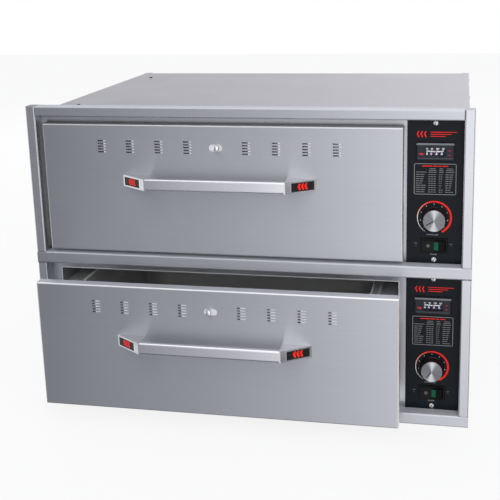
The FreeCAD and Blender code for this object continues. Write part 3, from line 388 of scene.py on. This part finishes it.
# ---------------------------------------------------------------- piece helpers
def piece(name, verts, faces, material, body, smooth=None):
    """A mesh piece from points in millimetres in the row frame."""
    mesh = bpy.data.meshes.new(name)
    mesh.from_pydata([[c * MM for c in v] for v in verts], [], faces)
    mesh.validate()
    obj = bpy.data.objects.new(name, mesh)
    bpy.context.scene.collection.objects.link(obj)
    mesh.materials.append(material)
    if smooth is not None:
        mesh.shade_smooth()
        mesh.set_sharp_from_angle(angle=math.radians(smooth))
    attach(obj, body)
    return obj


def rounded(u0, u1, v0, v1, radius, steps):
    """Points round a rectangle with rounded corners, each followed by the way it faces."""
    for cu, cv, start in ((u1 - radius, v1 - radius, 0), (u0 + radius, v1 - radius, 90),
                          (u0 + radius, v0 + radius, 180), (u1 - radius, v0 + radius, 270)):
        for k in range(steps + 1):
            a = math.radians(start + 90 / steps * k)
            yield cu + radius * math.cos(a), cv + radius * math.sin(a), math.cos(a), math.sin(a)


class Print:
    """Thin raised shapes on a surface, gathered into one mesh.

    place turns u and v, millimetres in the surface, and a depth in front of it into a point. lift is how far
    the shapes stand proud.
    """

    def __init__(self, place, lift=0.12):
        self.place = place
        self.lift = lift
        self.verts = []
        self.faces = []

    def shape(self, points):
        """A prism on a simple outline, counter-clockwise seen from the front."""
        n = len(points)
        base = len(self.verts)
        for depth in (0.0, self.lift):
            self.verts.extend(self.place(u, v, depth) for u, v in points)
        self.faces.append([base + n + i for i in range(n)])
        self.faces.append([base + i for i in reversed(range(n))])
        for i in range(n):
            j = (i + 1) % n
            self.faces.append([base + i, base + j, base + n + j, base + n + i])

    def bar(self, u0, u1, v0, v1):
        self.shape([(u0, v0), (u1, v0), (u1, v1), (u0, v1)])

    def strip(self, left, right):
        """A band between two lines of points, as one closed prism."""
        n = len(left)
        base = len(self.verts)
        for depth in (0.0, self.lift):
            self.verts.extend(self.place(u, v, depth) for u, v in left + right)
        for i in range(n - 1):
            a, b, c, d = i, i + 1, n + i + 1, n + i
            self.faces.append([base + 2 * n + k for k in (a, b, c, d)])
            self.faces.append([base + k for k in (d, c, b, a)])
            self.faces.append([base + k for k in (b, a, 2 * n + a, 2 * n + b)])
            self.faces.append([base + k for k in (d, c, 2 * n + c, 2 * n + d)])
        for a, b in ((0, n), (2 * n - 1, n - 1)):
            self.faces.append([base + k for k in (a, b, 2 * n + b, 2 * n + a)])

    def outline(self, u0, u1, v0, v1, radius, width):
        """A line round a rounded rectangle, width wide inward."""
        points = list(rounded(u0, u1, v0, v1, radius, 4))
        outer = [(u, v) for u, v, _, _ in points]
        inner = [(u - width * out_u, v - width * out_v) for u, v, out_u, out_v in points]
        self.strip(inner + inner[:1], outer + outer[:1])

    def text(self, words, size, u, v, bold=0.0):
        """Words centred on a point. bold is how far the strokes are widened."""
        curve = bpy.data.curves.new("words", "FONT")
        curve.body = words
        curve.size = size
        curve.offset = bold
        curve.align_x = "CENTER"
        curve.align_y = "CENTER"
        curve.resolution_u = 2
        holder = bpy.data.objects.new("words", curve)
        bpy.context.scene.collection.objects.link(holder)
        bpy.context.view_layer.update()
        flat = bpy.data.meshes.new_from_object(holder.evaluated_get(bpy.context.evaluated_depsgraph_get()))
        base = len(self.verts)
        n = len(flat.vertices)
        for depth in (0.0, self.lift):
            self.verts.extend(self.place(u + p.co.x, v + p.co.y, depth) for p in flat.vertices)
        edges = set()
        for poly in flat.polygons:
            loop = list(poly.vertices)
            self.faces.append([base + n + k for k in loop])
            self.faces.append([base + k for k in reversed(loop)])
            edges.update(zip(loop, loop[1:] + loop[:1]))
        for a, b in sorted(edges):
            if (b, a) not in edges:
                self.faces.append([base + k for k in (a, b, n + b, n + a)])
        bpy.data.objects.remove(holder)
        bpy.data.curves.remove(curve)
        bpy.data.meshes.remove(flat)

    def make(self, name, material, body, slot):
        return piece(name, self.verts, self.faces, material, body)


def ring_points(radius, start, end, steps):
    """Points on a circle, angles clockwise from the top in degrees."""
    angles = [math.radians(start + (end - start) * i / steps) for i in range(steps + 1)]
    return [(radius * math.sin(a), radius * math.cos(a)) for a in angles]


def lathe(name, profile, centre, toward, material, body, steps, ribs=None, smooth=35):
    """A turned piece. The profile is (radius, distance along toward) from its back to its front."""
    axis = Vector(toward).normalized()
    side = axis.orthogonal().normalized()
    other = axis.cross(side)
    middle = Vector(centre)
    verts, faces = [], []
    for radius, along in profile:
        for k in range(steps):
            a = 2 * math.pi * k / steps
            r = radius * (ribs(a, along) if ribs else 1.0)
            verts.append(middle + axis * along + (side * math.cos(a) + other * math.sin(a)) * r)
    for i in range(len(profile) - 1):
        for k in range(steps):
            m = (k + 1) % steps
            faces.append([i * steps + k, i * steps + m, (i + 1) * steps + m, (i + 1) * steps + k])
    faces.append(list(reversed(range(steps))))
    last = (len(profile) - 1) * steps
    faces.append([last + k for k in range(steps)])
    return piece(name, verts, faces, material, body, smooth)


# A pan head and its slot, as shares of the head's radius and height
SCREW_HEAD = ((1.0, 0.0), (1.0, 0.3), (0.93, 0.62), (0.7, 0.88), (0.42, 1.0))
SLOT_HALF_L = 1.1
SLOT_HALF_W = 0.13
SLOT_FLOOR = 0.45
BOX_FACES = [[3, 2, 1, 0], [4, 5, 6, 7], [0, 1, 5, 4], [1, 2, 6, 5], [2, 3, 7, 6], [3, 0, 4, 7]]


def screw(name, centre, toward, body, radius, height=1.9, turn=35.0, material=mats["screw"]):
    """Pan-head screw with a single slot at an angle of turn degrees."""
    axis = Vector(toward).normalized()
    middle = Vector(centre)
    profile = [(radius * wide, height * up) for wide, up in SCREW_HEAD]
    head = lathe(name, profile, centre, toward, material, body, 32)
    along = Matrix.Rotation(math.radians(turn), 3, axis) @ axis.orthogonal().normalized()
    across = axis.cross(along)
    verts = [middle + axis * d + along * a * radius + across * b * radius * SLOT_HALF_W
             for d in (height * SLOT_FLOOR, height + 1)
             for a, b in ((-SLOT_HALF_L, -1), (SLOT_HALF_L, -1), (SLOT_HALF_L, 1), (-SLOT_HALF_L, 1))]
    # The cutter's dark plastic passes to the slot's cut faces: painted shade in the slot
    cutter = piece(name + "_cut", verts, BOX_FACES, mats["gland"], body)
    modifier = head.modifiers.new("slot", "BOOLEAN")
    modifier.operation = "DIFFERENCE"
    modifier.material_mode = "TRANSFER"
    modifier.object = cutter
    bpy.context.view_layer.update()
    cut = bpy.data.meshes.new_from_object(head.evaluated_get(bpy.context.evaluated_depsgraph_get()))
    head.modifiers.clear()
    head.data = cut
    bpy.data.objects.remove(cutter)


# ---------------------------------------------------------------- control panel graphics
# Places across the panel are from its middle, and up it from the floor of the bay
CHART_BOX = (-33.4, 33.4, 116.0, 167.0)
CHART_HEADING = ((-20.5, -4.9), (-3.5, 3.6), (5.0, 10.1), (11.5, 20.5))
CHART_HEADING_V = (162.3, 163.7)
CHART_COLUMNS = ((-30.5, 17.0), (-10.5, 12.5), (6.0, 7.0), (16.5, 13.5))  # start and width
CHART_HEAD_INSETS = (0.12, 0.04, 0.0)     # of each line of a column's head, as a share of its width
CHART_HEAD_V = 158.2
CHART_HEAD_PITCH = 2.9
CHART_ROWS = 9
CHART_ROW_V = 148.4
CHART_ROW_PITCH = 3.6
CHART_ROW_LENGTHS = (0.86, 0.72, 0.94, 0.8, 0.63, 0.9, 0.77, 0.98)
NUMBER_R = 22.3          # the dial's numbers and its ring, from the middle of the knob
NUMBER_ENDS = (225, 495)                  # clockwise from the top, in degrees
NUMBER_SHIFT = -0.6
RING_R = 28.0
RING_ENDS = (212, 513)
RING_WIDTHS = (0.35, 3.25)
WAVES_AT = (-22.0, 214.5)
STRIPES = ((33.0, 217.6), (24.0, 214.2), (15.0, 210.8))    # right end and lower edge of each
STRIPES_LEFT = -8.0
PANEL_SCREW_R = 4.2
# Words, height of the letters, middle, and how far the strokes are widened
LABELS = (("TEMPERATURE", 2.9, -3.0, 48.6, 0.03), ("OFF", 2.7, -29.6, 33.4), ("O", 2.4, -29.6, 29.8),
          ("ON", 2.7, 27.0, 33.4), ("I", 2.4, 27.0, 29.8), ("POWER", 3.1, -0.5, 15.4, 0.05))


def chart(marks, frame_line, red):
    """Framed chart: a red heading, a head and nine rows in four columns, as plain marks."""
    frame_line.outline(*CHART_BOX, 2.5, 0.8)
    for u0, u1 in CHART_HEADING:
        red.bar(u0, u1, *CHART_HEADING_V)
    for k, (start, width) in enumerate(CHART_COLUMNS):
        for row, share in enumerate(CHART_HEAD_INSETS):
            if k or row == 2:
                inset = share * width
                v = row * CHART_HEAD_PITCH
                marks.bar(start + inset, start + width - inset, CHART_HEAD_V - v, CHART_HEAD_V + 1.1 - v)
    for row in range(CHART_ROWS):
        v = CHART_ROW_V - row * CHART_ROW_PITCH
        for k, (start, width) in enumerate(CHART_COLUMNS):
            share = 1.0 if k == 1 else CHART_ROW_LENGTHS[(row * 3 + k * 5) % len(CHART_ROW_LENGTHS)]
            parts = 3 if k == 1 else 2
            step = width * share / parts
            for part in range(parts):
                marks.bar(start + part * step, start + (part + 1) * step - 1.0, v, v + 1.3)


def dial(white, name, floor):
    """Numbers round the knob and the ring that widens from cool to hot."""
    for number, (u, v) in enumerate(ring_points(NUMBER_R, *NUMBER_ENDS, 8), 1):
        white.text(str(number), 3.1, u + NUMBER_SHIFT, DIAL_RISE + v)
    steps = 96
    least, most = RING_WIDTHS
    outer, inner = [], []
    for i, (u, v) in enumerate(ring_points(1.0, *RING_ENDS, steps)):
        width = least + (most - least) * min(i / steps * 1.25, 1.0) ** 0.8
        outer.append((u * RING_R, v * RING_R))
        inner.append((u * (RING_R - width), v * (RING_R - width)))
    # The ring's origin is its own middle, because its ink goes by the angle round that
    ring = Print(lambda u, v, depth: (u, -depth, v))
    ring.strip(outer, inner)
    made = ring.make("dial_ring_" + name, mats["dial_ring"], "cabinet", "panel_black")
    made.location = (PANEL_X * MM, PANEL_Y * MM, (floor + DIAL_RISE) * MM)
    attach(made, "cabinet")


SCALE_RISE = 1.2         # the left end of the gauge's curved scale above its middle
# Each row of the scale: height of its words, ends of its ticks, middle of its words, and its marks
SCALE_MARKS = ((3.4, (0.5, 2.8), 4.5, ((-13.2, "60"), (-5.6, "80"), (3.4, "100"), (12.2, "120"))),
               (3.2, (-2.2, 0.5), -4.1, ((-13.2, "20"), (-6.8, "40"), (1.8, "60"), (10.0, "80"))))


def gauge(name, floor):
    """Scale on the dial card behind the lens, the marks on the bezel, and painted highlights on its top edge
    and lower inner bevel.
    """
    def layer(y, lift):
        return Print(lambda u, v, depth: (PANEL_X + u, y - depth, floor + GAUGE_RISE + v), lift)

    def finish(marks, part, material):
        marks.make("gauge_%s_%s" % (part, name), mats[material], "cabinet", "gauge_plastic")

    card_lift, bezel_lift = 0.06, 0.15
    card = layer(CARD_Y, card_lift)
    card.bar(-16.4, 16.4, -7.4, 7.4)
    finish(card, "card", "card")
    scale = layer(CARD_Y - card_lift, 0.14)
    curve = [(u, SCALE_RISE * (u / 14) ** 2) for u in range(-14, 14)]
    scale.strip([(u, v + 0.85) for u, v in curve], [(u, v - 0.85) for u, v in curve])
    for size, ends, words_v, marks in SCALE_MARKS:
        for u, words in marks:
            scale.bar(u - 0.6, u + 0.6, *ends)
            scale.text(words, size, u, words_v, 0.2)
    finish(scale, "scale", "scale")
    # Painted highlight: a light grey strip on the bezel's top face and chamfer, where light from above falls
    top_highlight = layer(BEZEL_Y + 0.4, 0.5)
    top_highlight.bar(-29.6, 29.6, 11.6, 14.5)
    finish(top_highlight, "top_highlight", "top_highlight")
    # Painted highlight: a lighter strip standing for the lower inner bevel under the window, lit from above
    bevel = layer(BEZEL_Y, bezel_lift)
    bevel.bar(-27.5, 27.5, -10.6, -9.7)
    finish(bevel, "bevel", "bevel")
    arrow = layer(BEZEL_Y, bezel_lift)
    arrow.shape([(-26.0, -2.9), (-20.0, -4.8), (-18.5, -3.4), (-20.0, -2.2), (-26.0, -2.1)])
    finish(arrow, "marks", "red")
    lights = layer(BEZEL_Y, bezel_lift)
    lights.bar(20.5, 23.6, 1.5, 3.5)
    lights.bar(20.5, 23.6, -5.7, -3.7)
    finish(lights, "lights", "needle")


def heat_waves(marks, u, v, size, stroke):
    """Three rising waves with thinner ends, the common sign for warmth. size is their height."""
    steps = 16
    for k in (-1, 0, 1):
        left, right = [], []
        for i in range(steps + 1):
            t = i / steps
            middle = u + k * size * 0.52 + size * 0.085 * math.sin(2 * math.pi * (t * 1.15 + 0.1))
            half = stroke / 2 * (1 - abs(2 * t - 1) ** 5 * 0.75)
            left.append((middle - half, v + (t - 0.5) * size))
            right.append((middle + half, v + (t - 0.5) * size))
        marks.strip(right, left)


def controls(name):
    """All that is printed on one control panel, its gauge's marks and the two screws that hold it."""
    floor = BAY_FLOOR[name]
    inks = {key: Print(lambda u, v, depth: (PANEL_X + u, PANEL_Y - depth, floor + v))
            for key in ("white", "grey", "faint", "red")}
    chart(inks["faint"], inks["grey"], inks["red"])
    dial(inks["white"], name, floor)
    for label in LABELS:
        inks["grey"].text(*label)
    heat_waves(inks["red"], *WAVES_AT, 11.0, 2.0)
    for right, low in STRIPES:
        inks["red"].bar(STRIPES_LEFT, right, low, low + 1.0)
    for key, marks in inks.items():
        marks.make("print_%s_%s" % (key, name), mats[key], "cabinet", "panel_black")
    gauge(name, floor)
    for word, rise, turn in (("top", 233.0, 35), ("low", 6.6, 20)):
        screw("panel_screw_%s_%s" % (word, name), (PANEL_X, PANEL_Y, floor + rise), (0, -1, 0), "cabinet",
              PANEL_SCREW_R, turn=turn)


# ---------------------------------------------------------------- knobs and switches
KNOB_GAP = 0.6           # a knob's back in front of what it sits on
POINTER_AT = {"lower": 222.0, "upper": 240.0}    # degrees clockwise from the top
POINTER_FLOOR = CAP_Y + 0.5      # of its groove
POINTER_HALF_W = 0.76
POINTER_ENDS = (1.35, 14.25)
PIVOT_Y = SWITCH_Y + 3.0         # behind the face of the bezel
ROCKER_TILT = math.radians(8.0)
ROCKER_VALLEY = 3.87     # the rocker's face in front of its pivot
MARK_U = 9.0             # ring on the left arm, from the pivot
MARK_RADII = (2.3, 1.5)


def ribbed(count, depth, start):
    """Share of the radius of a grip with ribs, which are in front of start."""
    def share(angle, along):
        return 1.0 - depth * (0.5 - 0.5 * math.cos(count * angle)) ** 2 if along > start else 1.0
    return share


def thermostat_knob(name):
    """Ribbed grip on a skirt, with its spindle, and a dark strip on the floor of the groove that is its
    pointer.
    """
    middle = (PANEL_X, PANEL_Y - KNOB_GAP, BAY_FLOOR[name] + DIAL_RISE)
    body = "knob_" + name
    profile = [(3.0, -16.1), (3.0, 0.0), (19.6, 0.0), (19.8, 0.3), (19.8, 1.3), (19.3, 2.6), (18.5, 3.4),
               (18.1, 3.6), (18.0, 4.0), (17.8, 11.0), (17.7, 18.0), (17.55, 18.6), (17.1, 19.0)]
    knob = lathe("knob_grip_" + name, profile, middle, (0, -1, 0), mats["knob"], body, 240,
                 ribbed(48, 0.022, 3.8), 30)
    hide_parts("thermostat_knob_" + name)
    turn = math.radians(POINTER_AT[name])

    def in_groove(u, v, depth):
        return (PANEL_X + u * math.cos(turn) + v * math.sin(turn), POINTER_FLOOR - depth,
                middle[2] + v * math.cos(turn) - u * math.sin(turn))

    # A dark strip laid on the groove's floor
    pointer_strip = Print(in_groove, 0.1)
    pointer_strip.bar(-POINTER_HALF_W, POINTER_HALF_W, *POINTER_ENDS)
    pointer_strip.make("knob_pointer_" + name, mats["groove"], body, "knob_plastic")


def vent_knob(name):
    """Small ribbed pull on its neck in the drawer front."""
    low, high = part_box("vent_knob_" + name)
    x, _, z = (low + high) / 2 / MM
    middle = (x, DRAWER_FACE[name] - KNOB_GAP, z)
    profile = [(2.4, -1.9), (2.4, 0.0), (4.4, 0.0), (4.9, 0.5), (5.0, 1.0), (5.0, 5.2), (4.7, 6.0),
               (3.9, 6.6), (2.4, 6.9), (1.0, 7.0)]
    knob = lathe("vent_pull_" + name, profile, middle, (0, -1, 0), mats["chrome"], "vent_" + name,
                 120, ribbed(24, 0.05, 0.8), 30)
    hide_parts("vent_knob_" + name)


def rocker_marks(name):
    """Lens and mark on the two arms of the rocker, which stands with its left arm in."""
    z = BAY_FLOOR[name] + SWITCH_RISE
    body = "rocker_" + name
    cos, sin = math.cos(ROCKER_TILT), math.sin(ROCKER_TILT)

    def on_arm(side):
        def place(u, v, depth):
            x = side * (u * cos - depth * sin)
            y = -ROCKER_VALLEY - u * sin - depth * cos
            return (PANEL_X + x * cos + y * sin, PIVOT_Y - x * sin + y * cos, z + v)
        return place

    lens = Print(on_arm(1), 0.45)
    lens.bar(0.6, 7.8, -6.6, 6.6)
    lens.make("rocker_lens_" + name, mats["green"], body, "gauge_glass")
    mark = Print(on_arm(-1), 0.15)
    ring = ring_points(1.0, 0, 360, 32)
    outer, inner = ([(MARK_U + r * u, r * v) for u, v in ring] for r in MARK_RADII)
    mark.strip(outer, inner)
    mark.make("rocker_mark_" + name, mats["grey"], body, "rocker_plastic")


# ---------------------------------------------------------------- food pans
PAN_RIM = 11.0
PAN_CORNER = 48.0
BEAD_R = 1.8
BEAD_STEPS = 10


def pan_bead(name):
    """The rounded bend between the pan's rim and its walls, near-white and mostly matt: a real bend with a
    painted highlight.
    """
    low, high = (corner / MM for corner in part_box("food_pan_" + name))
    path = list(rounded(low[0] + PAN_RIM, high[0] - PAN_RIM, low[1] + PAN_RIM, high[1] - PAN_RIM,
                        PAN_CORNER, 12))
    verts, faces = [], []
    for x, y, out_x, out_y in path:
        for k in range(BEAD_STEPS):
            a = 2 * math.pi * k / BEAD_STEPS
            out = BEAD_R * math.cos(a)
            verts.append((x + out_x * out, y + out_y * out, high[2] - BEAD_R * 0.75 + BEAD_R * math.sin(a)))
    for i in range(len(path)):
        j = (i + 1) % len(path)
        for k in range(BEAD_STEPS):
            m = (k + 1) % BEAD_STEPS
            faces.append([i * BEAD_STEPS + k, i * BEAD_STEPS + m, j * BEAD_STEPS + m, j * BEAD_STEPS + k])
    piece("pan_bend_" + name, verts, faces, mats["bend"], "drawer_" + name, 60)


# ---------------------------------------------------------------- handle badges
BRACKET_W = 46.0         # of the handle's sloping end bracket, along x
BADGE_SETBACK = 3.6      # from the foot along the sloping face
BADGE_HALF_L = 20.5
BADGE_HALF_H = 7.5
BADGE_SINK = 0.6
PLATE_LIFT = 0.5


def badge(name, side):
    """Black plate with a bright rim in its sunk place on a bracket, with the sign for warmth."""
    left, right = extent("handle_" + name, "x")
    grip_y, foot_y = extent("handle_" + name, "y")
    reach = foot_y - grip_y
    slope = Vector((-BRACKET_W * side, -reach, 0)).normalized()
    normal = Vector((reach * side, -BRACKET_W, 0)).normalized()
    foot = Vector((DRAWER_X + (right - left) / 2 * side, DRAWER_FACE[name], mid_of("handle_" + name, "z")))
    middle = foot + slope * (BADGE_SETBACK + BADGE_HALF_L) - normal * BADGE_SINK
    across = slope * -side

    def place(u, v, depth):
        return middle + across * u + Vector((0, 0, v)) + normal * depth

    label = "left" if side < 0 else "right"
    body = "drawer_" + name
    half_l, half_h = BADGE_HALF_L - 0.1, BADGE_HALF_H - 0.1
    plate = Print(place, PLATE_LIFT)
    plate.bar(-half_l, half_l, -half_h, half_h)
    plate.make("badge_plate_%s_%s" % (name, label), mats["badge"], body, "panel_black")
    half_l, half_h = BADGE_HALF_L + 0.4, BADGE_HALF_H + 0.4
    rim = Print(place, 1.0)
    rim.outline(-half_l, half_l, -half_h, half_h, 0.6, 0.7)
    rim.make("badge_rim_%s_%s" % (name, label), mats["chrome"], body, "handle_steel")
    marks = Print(lambda u, v, depth: place(u, v, PLATE_LIFT + depth), 0.2)
    heat_waves(marks, 0.0, 0.0, 11.6, 4.0)
    marks.make("badge_waves_%s_%s" % (name, label), mats["red"], body, "needle_red")


# ---------------------------------------------------------------- fasteners and seams
CASE_SCREW_R = 3.4
COVER_SCREW_H = 2.0
BACK_SCREW_H = 0.95      # no further out than the back's flanges
COVER_SCREWS = ((-328.5, -182.0), (-326.0, 213.0))
SIDE_SCREWS_Y = (0.0, 250.0)
BACK_SCREWS = [(x, z) for x in (-350, 350) for z in (30, 260, 490)] + [(0, 12), (0, 505)]
OPENING_LAP = 7.5        # drawer opening covered by the drawer's front on each side
OPENING_LIFT = 10.0      # above the floor of the bay
OPENING_H = 215.0
HEM_W = 1.3
SEAM_HALF_W = 0.2


def case_screws():
    """Dark screws on the cover, and bright ones along both sides and round the back."""
    top = extent("top_cover", "z")[1]
    for k, (x, y) in enumerate(COVER_SCREWS):
        screw("cover_screw_%d" % k, (x, y, top), (0, 0, 1), "cabinet", CASE_SCREW_R,
              COVER_SCREW_H, 50, mats["gland"])
    side_x = extent("side_panel_right", "x")[1]
    flange_z = mid_of("top_cover", "z")
    for k, y in enumerate(SIDE_SCREWS_Y):
        for side, word in ((-1, "left"), (1, "right")):
            screw("side_screw_%s_%d" % (word, k), (side_x * side, y, flange_z), (side, 0, 0), "cabinet",
                  CASE_SCREW_R, turn=20 + 40 * k)
    back_y = extent("back_panel", "y")[1]
    for k, (x, z) in enumerate(BACK_SCREWS):
        screw("back_screw_%d" % k, (x, back_y, z), (0, 1, 0), "cabinet", CASE_SCREW_R,
              BACK_SCREW_H, 30 * k)


def opening_hem(name):
    """The turned edge of the face panel's sheet round the drawer opening."""
    left, right = extent("drawer_front_" + name, "x")
    floor = BAY_FLOOR[name]
    hem = Print(lambda u, v, depth: (u, FACE_PANEL_Y - depth, floor + v), 0.4)
    hem.outline(left + OPENING_LAP - HEM_W, right - OPENING_LAP + HEM_W, OPENING_LIFT - HEM_W,
                OPENING_LIFT + OPENING_H + HEM_W, 1.5, HEM_W)
    hem.make("opening_hem_" + name, mats["hem"], "cabinet", "frame_steel")


def seams():
    """Fine joint lines where the frame's uprights meet its rails."""
    inner, outer = extent("stile_lower_right", "x")
    low, high = extent("frame_top_rail", "z")
    lines = Print(lambda u, v, depth: (u, FRONT_Y - depth + 0.06, v), 0.08)
    for side in (-1, 1):
        lines.bar(inner * side - SEAM_HALF_W, inner * side + SEAM_HALF_W, low + 0.5, high - 1.0)
        ends = sorted((side * (inner + 0.5), side * (outer - 1.0)))
        for v in (BAY_FLOOR["lower"], *extent("frame_middle_rail", "z")):
            lines.bar(*ends, v - SEAM_HALF_W, v + SEAM_HALF_W)
    lines.make("frame_seams", mats["seam"], "cabinet", "frame_steel")


for name in NAMES:
    controls(name)
    thermostat_knob(name)
    vent_knob(name)
    rocker_marks(name)
    badge(name, -1)
    badge(name, 1)
    pan_bead(name)
    opening_hem(name)
case_screws()
seams()


# ---------------------------------------------------------------- camera, light, floor
CAMERA_AT = (0.35168, -1.73450, 0.76672)
PITCH, ROLL, YAW = -0.2277, -0.0230, -0.1979
FRAME_W = 500            # pixels across the picture
FOCAL = 920.86           # in the same pixels
SHIFT = (-0.06, -0.15)

# Brightness that metal sees, by how far to the right it looks: 0 is left and 1 right
FRONT_LIGHT = [(0.02, (1.40, 1.40, 1.42)), (0.10, (0.50, 0.50, 0.54)), (0.23, (0.10, 0.10, 0.115)),
               (0.29, (0.265, 0.27, 0.30)), (0.34, (0.66, 0.67, 0.71)), (0.38, (0.55, 0.55, 0.585)),
               (0.42, (0.86, 0.86, 0.90)), (0.49, (1.48, 1.48, 1.51)), (0.56, (1.80, 1.80, 1.82)),
               (0.64, (1.40, 1.40, 1.41)), (0.72, (0.80, 0.80, 0.82)), (0.80, (0.45, 0.45, 0.47)),
               (0.86, (0.22, 0.22, 0.23)), (0.93, (0.22, 0.22, 0.23)), (0.985, (1.50, 1.50, 1.52))]
LOW_LIGHT = [(0.02, (1.20, 1.20, 1.22)), (0.10, (0.45, 0.45, 0.48)), (0.23, (0.10, 0.10, 0.115)),
             (0.29, (0.235, 0.24, 0.27)), (0.34, (0.35, 0.36, 0.39)), (0.40, (0.37, 0.37, 0.40)),
             (0.44, (0.60, 0.60, 0.63)), (0.49, (0.92, 0.92, 0.95)), (0.60, (1.10, 1.10, 1.12)),
             (0.80, (0.65, 0.65, 0.67)), (0.86, (0.20, 0.20, 0.21)), (0.93, (0.20, 0.20, 0.21)),
             (0.985, (1.30, 1.30, 1.32))]
BACK_LIGHT = [(0.20, (0.36, 0.36, 0.39)), (0.40, (0.50, 0.50, 0.53)), (0.52, (0.86, 0.86, 0.88)),
              (0.90, (0.95, 0.95, 0.97)), (0.98, (1.35, 1.35, 1.37))]
UNDER = (0.12, 0.12, 0.125)
OVERHEAD = (1.4, 1.4, 1.42)
# Where one gives way to the next, as the direction's height, or its depth for BACK
LOW_FROM = (-0.15, -0.50)
UNDER_FROM = (-0.55, -0.90)
OVERHEAD_FROM = (0.45, 0.90)
BACK_FROM = (-0.25, 0.25)
AMBIENT = 0.75
AMBIENT_TINT = (0.94, 0.96, 1.0)
FLOOR_WHITE = 0.85
FLOOR_HALF = 6.0
FLOOR_Z = -0.0005


def make_camera():
    forward = Vector((math.sin(YAW) * math.cos(PITCH), math.cos(YAW) * math.cos(PITCH), math.sin(PITCH)))
    right = Vector((math.cos(YAW), -math.sin(YAW), 0))
    up = right.cross(forward)
    x_axis = right * math.cos(ROLL) + up * math.sin(ROLL)
    y_axis = up * math.cos(ROLL) - right * math.sin(ROLL)
    data = bpy.data.cameras.new("camera")
    data.sensor_width = 36.0
    data.lens = FOCAL / FRAME_W * data.sensor_width
    data.shift_x, data.shift_y = SHIFT
    data.clip_end = 50.0
    camera = bpy.data.objects.new("camera", data)
    bpy.context.scene.collection.objects.link(camera)
    turned = Matrix((x_axis, y_axis, -forward)).transposed().to_4x4()
    camera.matrix_world = Matrix.Translation(CAMERA_AT) @ turned
    bpy.context.scene.camera = camera


def area(name, at, target, size, energy):
    """A plain area lamp that metal doesn't mirror."""
    data = bpy.data.lights.new(name, "AREA")
    data.shape = "RECTANGLE"
    data.size, data.size_y = size
    data.energy = energy
    lamp = bpy.data.objects.new(name, data)
    bpy.context.scene.collection.objects.link(lamp)
    lamp.location = at
    lamp.visible_glossy = False
    lamp.rotation_euler = (Vector(target) - Vector(at)).to_track_quat("-Z", "Y").to_euler()


def make_world():
    """White to the camera and through glass. Metal sees a soft studio, dimmer on the left of the front."""
    world = bpy.data.worlds.new("studio")
    bpy.context.scene.world = world
    world.use_nodes = True
    t = Tree(world.node_tree)
    t.tree.nodes.clear()
    axes = t.axes(t.where("Generated"))
    rightward = t.span(axes["X"], 0.0, 1.0, -1.0, 1.0)

    def passing(axis, span, first, second):
        """Goes from first to second as the direction's axis passes over span."""
        inputs = {"Value": axes[axis], "From Min": span[0], "From Max": span[1]}
        share = t.node("ShaderNodeMapRange", inputs, interpolation_type="SMOOTHSTEP")
        return t.blend(share.outputs["Result"], first, second)

    def light(colour, strength):
        return t.node("ShaderNodeBackground", {"Color": colour, "Strength": strength}).outputs[0]

    front = passing("Z", LOW_FROM, t.ramp(rightward, FRONT_LIGHT), t.ramp(rightward, LOW_LIGHT))
    level = passing("Y", BACK_FROM, front, t.ramp(rightward, BACK_LIGHT))
    studio = passing("Z", OVERHEAD_FROM, passing("Z", UNDER_FROM, level, UNDER), OVERHEAD)
    ray = t.node("ShaderNodeLightPath").outputs
    lit = t.choose(ray["Is Glossy Ray"], light(AMBIENT_TINT, AMBIENT), light(studio, 1.0))
    clear = t.math("MAXIMUM", ray["Is Camera Ray"], ray["Is Transmission Ray"])
    t.node("ShaderNodeOutputWorld", {"Surface": t.choose(clear, lit, light((1, 1, 1), 1.0))})


def make_floor():
    """Pale floor, nearly white to the camera, that keeps a soft shadow near the object."""
    mesh = bpy.data.meshes.new("floor")
    corners = ((-1, -1), (1, -1), (1, 1), (-1, 1))
    mesh.from_pydata([(x * FLOOR_HALF, y * FLOOR_HALF, FLOOR_Z) for x, y in corners], [], [[0, 1, 2, 3]])
    floor = bpy.data.objects.new("floor", mesh)
    bpy.context.scene.collection.objects.link(floor)
    floor.visible_glossy = False
    g = Graph("floor_paper")
    paper = g.noise(40.0, g.coords(), 3.0)
    g.set(Base_Color=g.ramp(paper, [(0.3, (0.89, 0.89, 0.89)), (0.7, (0.91, 0.91, 0.91))]), Roughness=0.9,
          Specular_IOR_Level=0.0)
    glow = g.node("ShaderNodeEmission")
    seen = g.math("MULTIPLY", g.node("ShaderNodeLightPath").outputs["Is Camera Ray"], FLOOR_WHITE)
    mixed = g.choose(seen, g.bsdf.outputs[0], glow.outputs[0])
    g.put(mixed, g.tree.nodes["Material Output"].inputs["Surface"])
    mesh.materials.append(g.material)


make_camera()
make_world()
make_floor()
area("key", (1.3, -2.6, 1.7), (0.1, 0, 0.2), (1.8, 1.2), 16)
area("fill", (0.2, -3.0, 0.9), (0, 0, 0.25), (2.4, 0.8), 14)
area("rear", (-1.4, 2.6, 1.8), (0, 0, 0.2), (1.8, 1.2), 18)
bpy.context.scene.view_settings.view_transform = "Standard"
